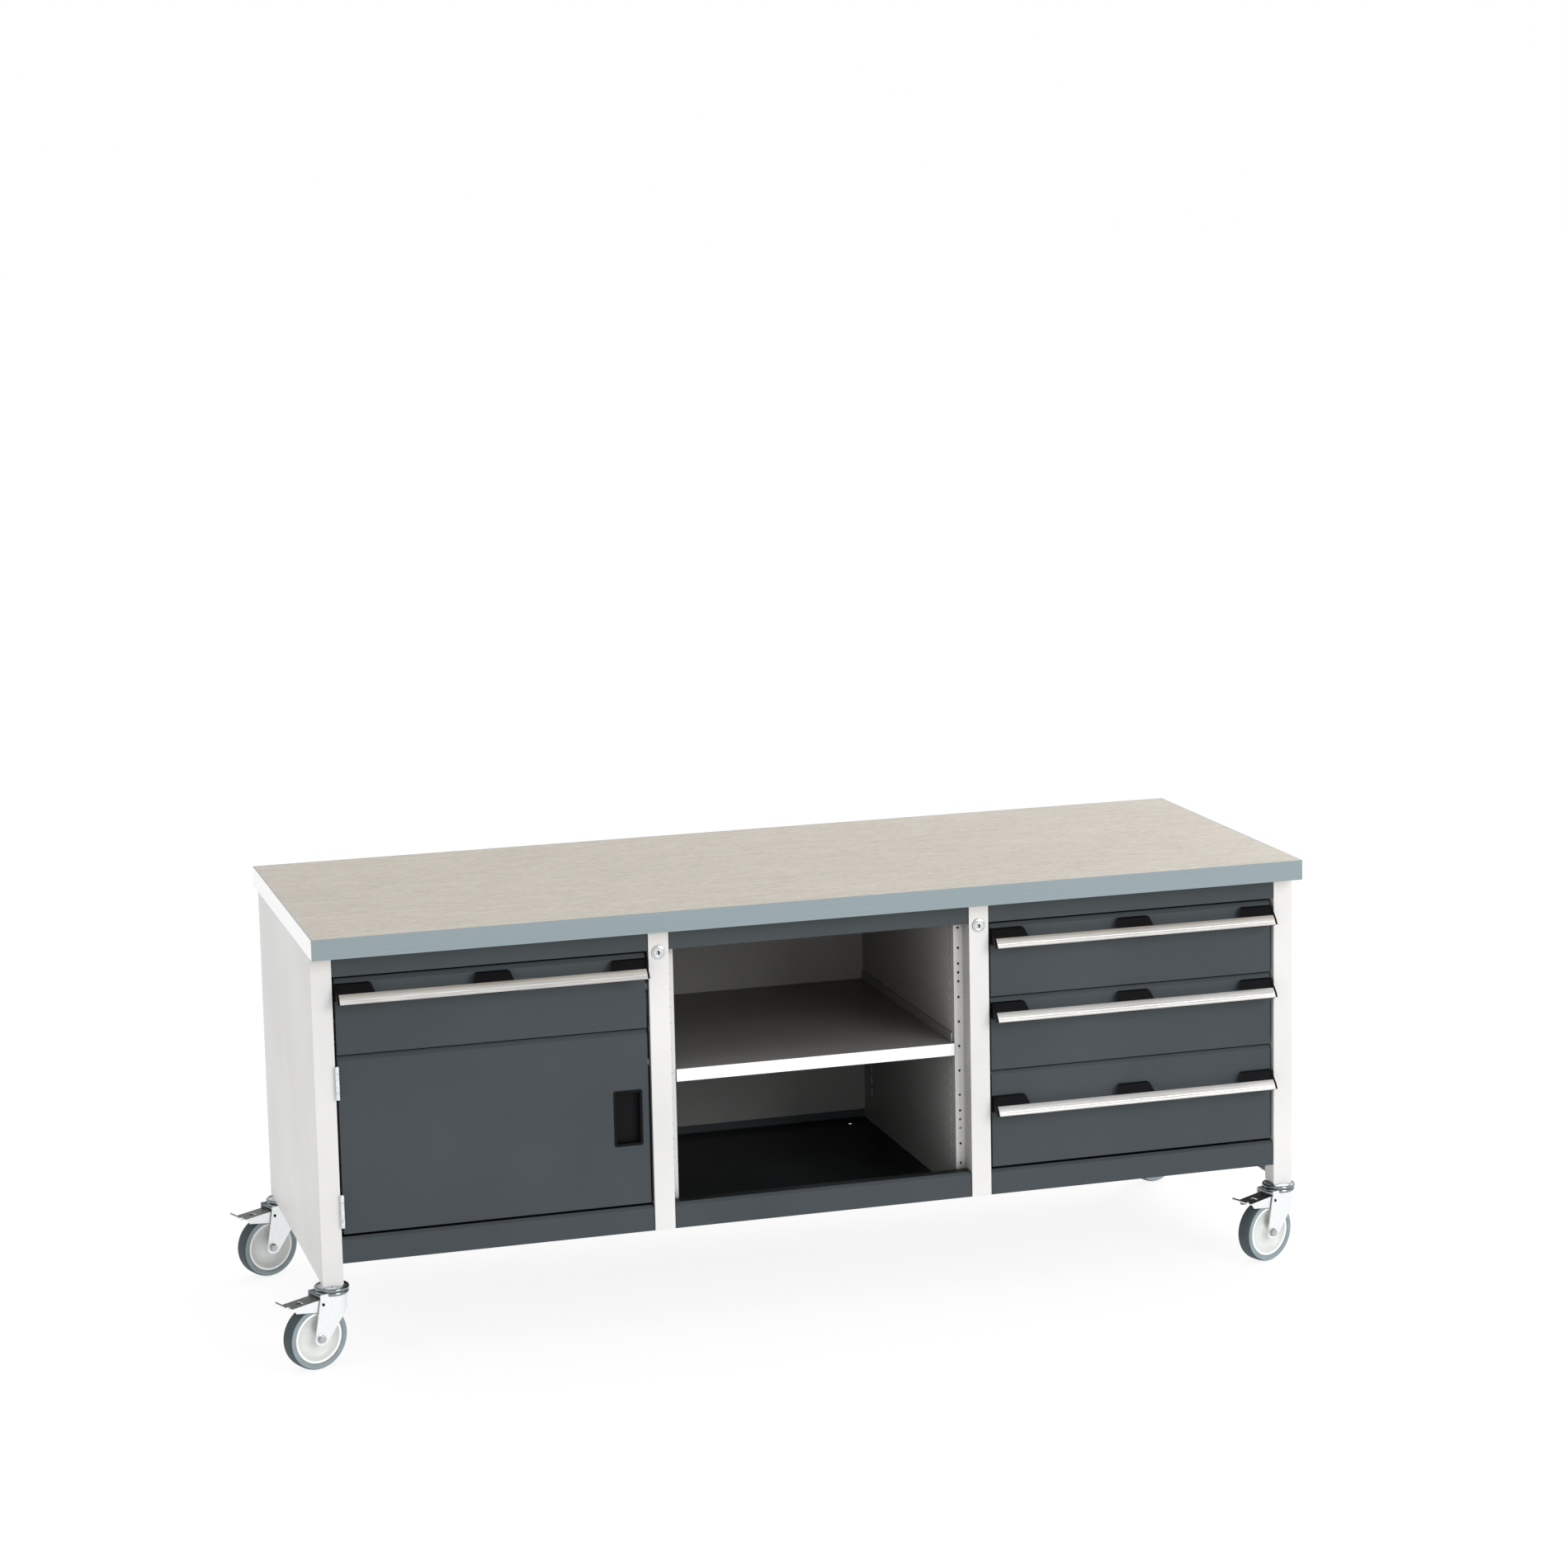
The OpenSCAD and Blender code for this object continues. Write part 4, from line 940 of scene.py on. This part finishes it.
@dataclass
class Caster:
    """One braked swivel caster: head rings, tyre and dished wheel centre."""

    corner: Corner
    palette: Palette
    joints: dict[str, dict]
    tyre_half: float = 16.5 * MM
    tread_edge: float = 60.4 * MM
    tyre_seat_half: float = 13.0 * MM
    rim_ring: float = 45.1 * MM
    head: float = 34.0 * MM
    race: float = 33.0 * MM
    head_flat: float = 25.5 * MM
    fork_half: float = 25.0 * MM
    plate_ends: Point2 = (154.0 * MM, 160.0 * MM)
    nut_ends: Point2 = (137.9 * MM, 143.2 * MM)

    def wheel_frame(self) -> Matrix:
        """Frame at the wheel's middle whose Z is the axle's line.

        Returns:
            The frame.
        """
        spin = self.joints[f"{self.corner.value}_wheel_spin"]
        axis = Vector(spin["axis"]).normalized()
        up = Vector((0, 0, 1))
        across = up.cross(axis)
        turn = Matrix((across, up, axis)).transposed().to_4x4()
        return Matrix.Translation(spin["pos_m"]) @ turn

    def head_frame(self) -> Matrix:
        """Frame on the floor under the swivel axis."""
        x, y, _ = self.joints[f"{self.corner.value}_swivel"]["pos_m"]
        return Matrix.Translation((x, y, 0))

    def tyre(self) -> bpy.types.Object:
        """Makes the tyre, with a pale sidewall and a darker tread.

        Returns:
            The tyre.
        """
        name = self.corner.value
        half = self.tyre_half
        shoulder = [(62.5, 6.5), (62.3, 9.5), (61.8, 12.2), (61.0, 14.2), (60.0, 15.4),
                    (58.8, 16.1), (57.4, 16.5), (53.6, 16.5), (52.2, 16.2), (51.0, 15.5),
                    (50.3, 14.6), (50.0, 13.6)]
        profile = both_faces([(r * MM, min(w * MM, half)) for r, w in shoulder])
        tyre = turned(f"{name}_tyre_moulded", profile, self.wheel_frame(), f"{name}_wheel",
                      self.palette.sidewall, self.palette.tread, steps=128,
                      finish_of=lambda r, w: int(r > self.tread_edge
                                                 or abs(w) < self.tyre_seat_half))
        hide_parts(f"{name}_tyre")
        return tyre

    def wheel_centre(self) -> bpy.types.Object:
        """Makes the dished nylon centre with its hub and its flat rim ring, the centre darker than
        the ring as painted shade in the dish.

        Returns:
            The wheel centre.
        """
        name = self.corner.value
        dish = [(4.1, 21.0), (10.6, 21.0), (11.5, 20.6), (12.0, 19.8), (12.4, 16.0),
                (13.4, 12.0), (15.4, 8.6), (18.4, 6.4), (22.4, 5.0), (27.0, 4.4),
                (32.0, 4.8), (36.4, 6.2), (40.0, 8.4), (42.8, 11.0), (44.6, 13.1),
                (45.4, 13.8), (46.4, 14.2), (49.0, 14.2), (49.7, 13.8), (49.95, 13.0)]
        profile = both_faces([(r * MM, w * MM) for r, w in dish])
        centre = turned(f"{name}_wheel_centre_moulded", profile, self.wheel_frame(),
                        f"{name}_wheel", self.palette.nylon, self.palette.rim_nylon, steps=128,
                        finish_of=lambda r, w: int(r > self.rim_ring))
        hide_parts(f"{name}_wheel_centre")
        return centre

    def rings(self, stands_for_node: bool) -> list[bpy.types.Object]:
        """Makes the head's rounded ring with its kingpin, and the fork's race ring.

        Args:
            stands_for_node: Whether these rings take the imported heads' place.

        Returns:
            The pieces.
        """
        name = self.corner.value
        r = self.head / MM
        ring = [(6.0, 137.8), (6.0, 148.1), (27.0, 148.1), (28.5, 148.6), (31.5, 148.7),
                (r - 1.0, 149.4), (r - 0.2, 150.8), (r, 152.4), (r - 0.4, 154.0),
                (r - 1.4, 155.2), (r - 3.0, 155.8), (r - 4.6, 155.5), (r - 5.6, 154.6),
                (r - 8.0, 154.2), (0.01, 154.2), (0.01, 137.8)]
        head = turned(f"{name}_head_ring", [(a * MM, z * MM) for a, z in ring],
                      self.head_frame(), "bench", self.palette.ring_painted_reflection, self.palette.zinc,
                      finish_of=lambda a, z: int(a < self.head_flat))
        if stands_for_node:
            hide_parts("caster_heads")
        race = self.race / MM
        lower = [(race - 3.5, 141.2), (race - 1.2, 141.5), (race - 0.3, 142.6), (race, 144.4),
                 (race - 0.3, 146.2), (race - 1.2, 147.4), (race - 3.0, 147.8),
                 (race - 4.0, 147.4)]
        fork_race = turned(f"{name}_race_ring", [(a * MM, z * MM) for a, z in lower],
                           self.head_frame(), f"{name}_caster", self.palette.ring_painted_reflection)
        return [head, fork_race, self.plate(), self.kingpin_nut(), *self.pivot_hole_shades()]

    def pivot_hole_shades(self) -> list[bpy.types.Object]:
        """Makes black dished discs on the ends of the pedal's pivot pin, painted shade where the
        pivot hole shows dark.

        Returns:
            One piece for each end.
        """
        name = self.corner.value
        joint = self.joints[f"{name}_brake_press"]
        axis = Vector(joint["axis"]).normalized()
        up = Vector((0, 0, 1))
        turn = Matrix((up.cross(axis), up, axis)).transposed().to_4x4()
        middle = Matrix.Translation(joint["pos_m"]) @ turn
        dish = [(0.01, 0.05), (1.6, 0.1), (2.3, 0.35), (2.95, 0.3), (2.95, -0.6), (0.01, -0.6)]
        ends = []
        # painted shade: a black disc at each end of the pin
        for side, label in ((1.0, "left"), (-1.0, "right")):
            profile = [(a * MM, side * (self.fork_half + w * MM)) for a, w in dish]
            ends.append(turned(f"{name}_pivot_hole_shade_{label}", profile, middle, f"{name}_brake",
                               self.palette.black, steps=32))
        return ends

    def plate(self) -> bpy.types.Object:
        """Makes the plate that closes the leg above the head."""
        name = self.corner.value
        place = self.head_frame()
        half_w, half_d, r = 18.5 * MM, 20.5 * MM, 2.0 * MM
        outline = []
        for sx, sy, start in ((1, 1, 0), (-1, 1, 90), (-1, -1, 180), (1, -1, 270)):
            for i in range(5):
                a = math.radians(start + 22.5 * i)
                outline.append((sx * (half_w - r) + r * math.cos(a),
                                sy * (half_d - r) + r * math.sin(a)))
        plate = extruded(f"{name}_leg_plate", outline, *self.plate_ends,
                         lambda u, v, w: place @ Vector((u, v, w)), "bench", self.palette.zinc)
        soften(plate, 0.5 * MM)
        return plate

    def kingpin_nut(self) -> bpy.types.Object:
        """Makes the hexagon nut under the fork's crown."""
        name = self.corner.value
        place = self.head_frame()
        outline = [(10 * MM * math.cos(math.radians(60 * i)),
                    10 * MM * math.sin(math.radians(60 * i))) for i in range(6)]
        nut = extruded(f"{name}_kingpin_nut", outline, *self.nut_ends,
                       lambda u, v, w: place @ Vector((u, v, w)), "bench", self.palette.zinc)
        soften(nut, 0.6 * MM)
        return nut

    def build(self, heads_stand_for_node: bool) -> list[bpy.types.Object]:
        """Makes every detail piece of the caster.

        Args:
            heads_stand_for_node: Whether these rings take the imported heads' place.

        Returns:
            The pieces.
        """
        return [self.tyre(), self.wheel_centre(), *self.rings(heads_stand_for_node)]


# ------------------------------------------------------------------ studio


@dataclass
class Studio:
    """Pale floor, soft light and the camera."""

    floor_half: float = 60.0
    middle_x: float = 0.0
    camera_place: tuple[float, float, float] = (-2.0027, -7.0512, 2.3094)
    yaw: float = 0.2937
    pitch: float = 0.1554
    roll: float = -0.0187
    focal_share: float = 4462.5 / 1900
    shift: Point2 = (-0.03, -0.05)

    def floor(self) -> bpy.types.Object:
        """Makes the floor, which glows a little so that shade on it stays faint.

        Returns:
            The floor.
        """
        mesh = bmesh.new()
        bmesh.ops.create_grid(mesh, x_segments=2, y_segments=2, size=self.floor_half)
        data = bpy.data.meshes.new("floor")
        mesh.to_mesh(data)
        mesh.free()
        floor = bpy.data.objects.new("floor", data)
        floor.location.z = -0.3 * MM
        bpy.context.scene.collection.objects.link(floor)
        sheet = ShaderSheet("pale_floor")
        sheet.set(Base_Color=(0.18, 0.18, 0.18, 1.0), Roughness=0.9, Specular_IOR_Level=0.1,
                  Emission_Color=(1.0, 1.0, 1.0, 1.0), Emission_Strength=0.86)
        data.materials.append(sheet.material)
        return floor

    def sky(self) -> None:
        """Makes a white surround with a dimmer band overhead that shapes the plated parts."""
        world = bpy.data.worlds.new("studio_surround")
        world.use_nodes = True
        tree = world.node_tree
        background = tree.nodes["Background"]
        place = tree.nodes.new("ShaderNodeTexCoord")
        split = tree.nodes.new("ShaderNodeSeparateXYZ")
        ramp = tree.nodes.new("ShaderNodeValToRGB")
        tree.links.new(place.outputs["Generated"], split.inputs["Vector"])
        tree.links.new(split.outputs["Z"], ramp.inputs["Fac"])
        tree.links.new(ramp.outputs["Color"], background.inputs["Color"])
        stops = ((0.0, 1.0), (0.3, 1.0), (0.5, 0.5), (0.8, 0.7), (1.0, 1.0))
        while len(ramp.color_ramp.elements) < len(stops):
            ramp.color_ramp.elements.new(0.5)
        for element, (position, grey) in zip(ramp.color_ramp.elements, stops):
            element.position = position
            element.color = (grey, grey, grey, 1.0)
        background.inputs["Strength"].default_value = 1.0
        bpy.context.scene.world = world

    def lamp(self, name: str, place: tuple[float, float, float], aim: tuple[float, float, float],
             size: float, power: float) -> bpy.types.Object:
        """Makes a square soft light.

        Args:
            name: Name of the light.
            place: Where it stands.
            aim: Point that it faces.
            size: Side of the square.
            power: Power in watts.

        Returns:
            The light.
        """
        data = bpy.data.lights.new(name, "AREA")
        data.size = size
        data.energy = power
        light = bpy.data.objects.new(name, data)
        light.location = place
        light.rotation_euler = (Vector(aim) - Vector(place)).to_track_quat("-Z", "Y").to_euler()
        bpy.context.scene.collection.objects.link(light)
        return light

    def camera(self) -> bpy.types.Object:
        """Makes the camera at the bench's left front, above the worktop.

        Returns:
            The camera.
        """
        cy, sy = math.cos(self.yaw), math.sin(self.yaw)
        cp, sp = math.cos(self.pitch), math.sin(self.pitch)
        forward = Vector((sy * cp, cy * cp, -sp))
        right = Vector((cy, -sy, 0))
        up = right.cross(forward)
        across = right * math.cos(self.roll) + up * math.sin(self.roll)
        upright = up * math.cos(self.roll) - right * math.sin(self.roll)
        data = bpy.data.cameras.new("camera")
        data.sensor_width = 36.0
        data.lens = 36.0 * self.focal_share
        data.shift_x, data.shift_y = self.shift
        data.clip_end = 200.0
        camera = bpy.data.objects.new("camera", data)
        turn = Matrix((across, upright, -forward)).transposed().to_4x4()
        place = Vector(self.camera_place) + Vector((self.middle_x, 0, 0))
        camera.matrix_world = Matrix.Translation(place) @ turn
        bpy.context.scene.collection.objects.link(camera)
        bpy.context.scene.camera = camera
        return camera

    def build(self) -> list[bpy.types.Object]:
        """Makes the whole studio.

        Returns:
            The floor, the lights and the camera.
        """
        bpy.context.scene.view_settings.view_transform = "Standard"
        self.sky()
        x = self.middle_x
        return [
            self.floor(),
            self.lamp("front_light", (x + 3.4, -6.4, 3.4), (x + 0.4, 0.0, 0.45), 3.5, 260.0),
            self.lamp("right_light", (x + 3.2, 2.2, 2.6), (x + 0.8, 0.1, 0.8), 1.6, 45.0),
            self.camera(),
        ]


# ------------------------------------------------------------------ assembly


def corners(box: tuple[Vector, Vector]) -> list[list[float]]:
    """A box's two corners as plain lists."""
    return [list(box[0]), list(box[1])]


def main() -> None:
    """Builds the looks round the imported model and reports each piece."""
    logging.basicConfig(level=logging.INFO, format="%(name)s: %(message)s")
    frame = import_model()
    palette = Palette()
    joints = {j["name"]: j for j in frame["joints"]}
    low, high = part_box("worktop_edging")

    made = Studio(middle_x=(low.x + high.x) / 2).build()
    LOG.info("studio: %s", ", ".join(o.name for o in made))
    LOG.info("packed nodes dressed: %d", SheetMetal(palette).dress(frame["nodes"]))
    for drawer in Drawer:
        LOG.info("handle: %s", HandleBar(drawer, palette).build().name)
    for side in Side:
        pieces = Lock(side, palette, joints).build(side is Side.LEFT)
        LOG.info("lock: %s", ", ".join(o.name for o in pieces))
    for corner in Corner:
        pieces = Caster(corner, palette, joints).build(corner is Corner.FRONT_LEFT)
        LOG.info("caster: %s", ", ".join(o.name for o in pieces))


if __name__ == "__main__":
    main()
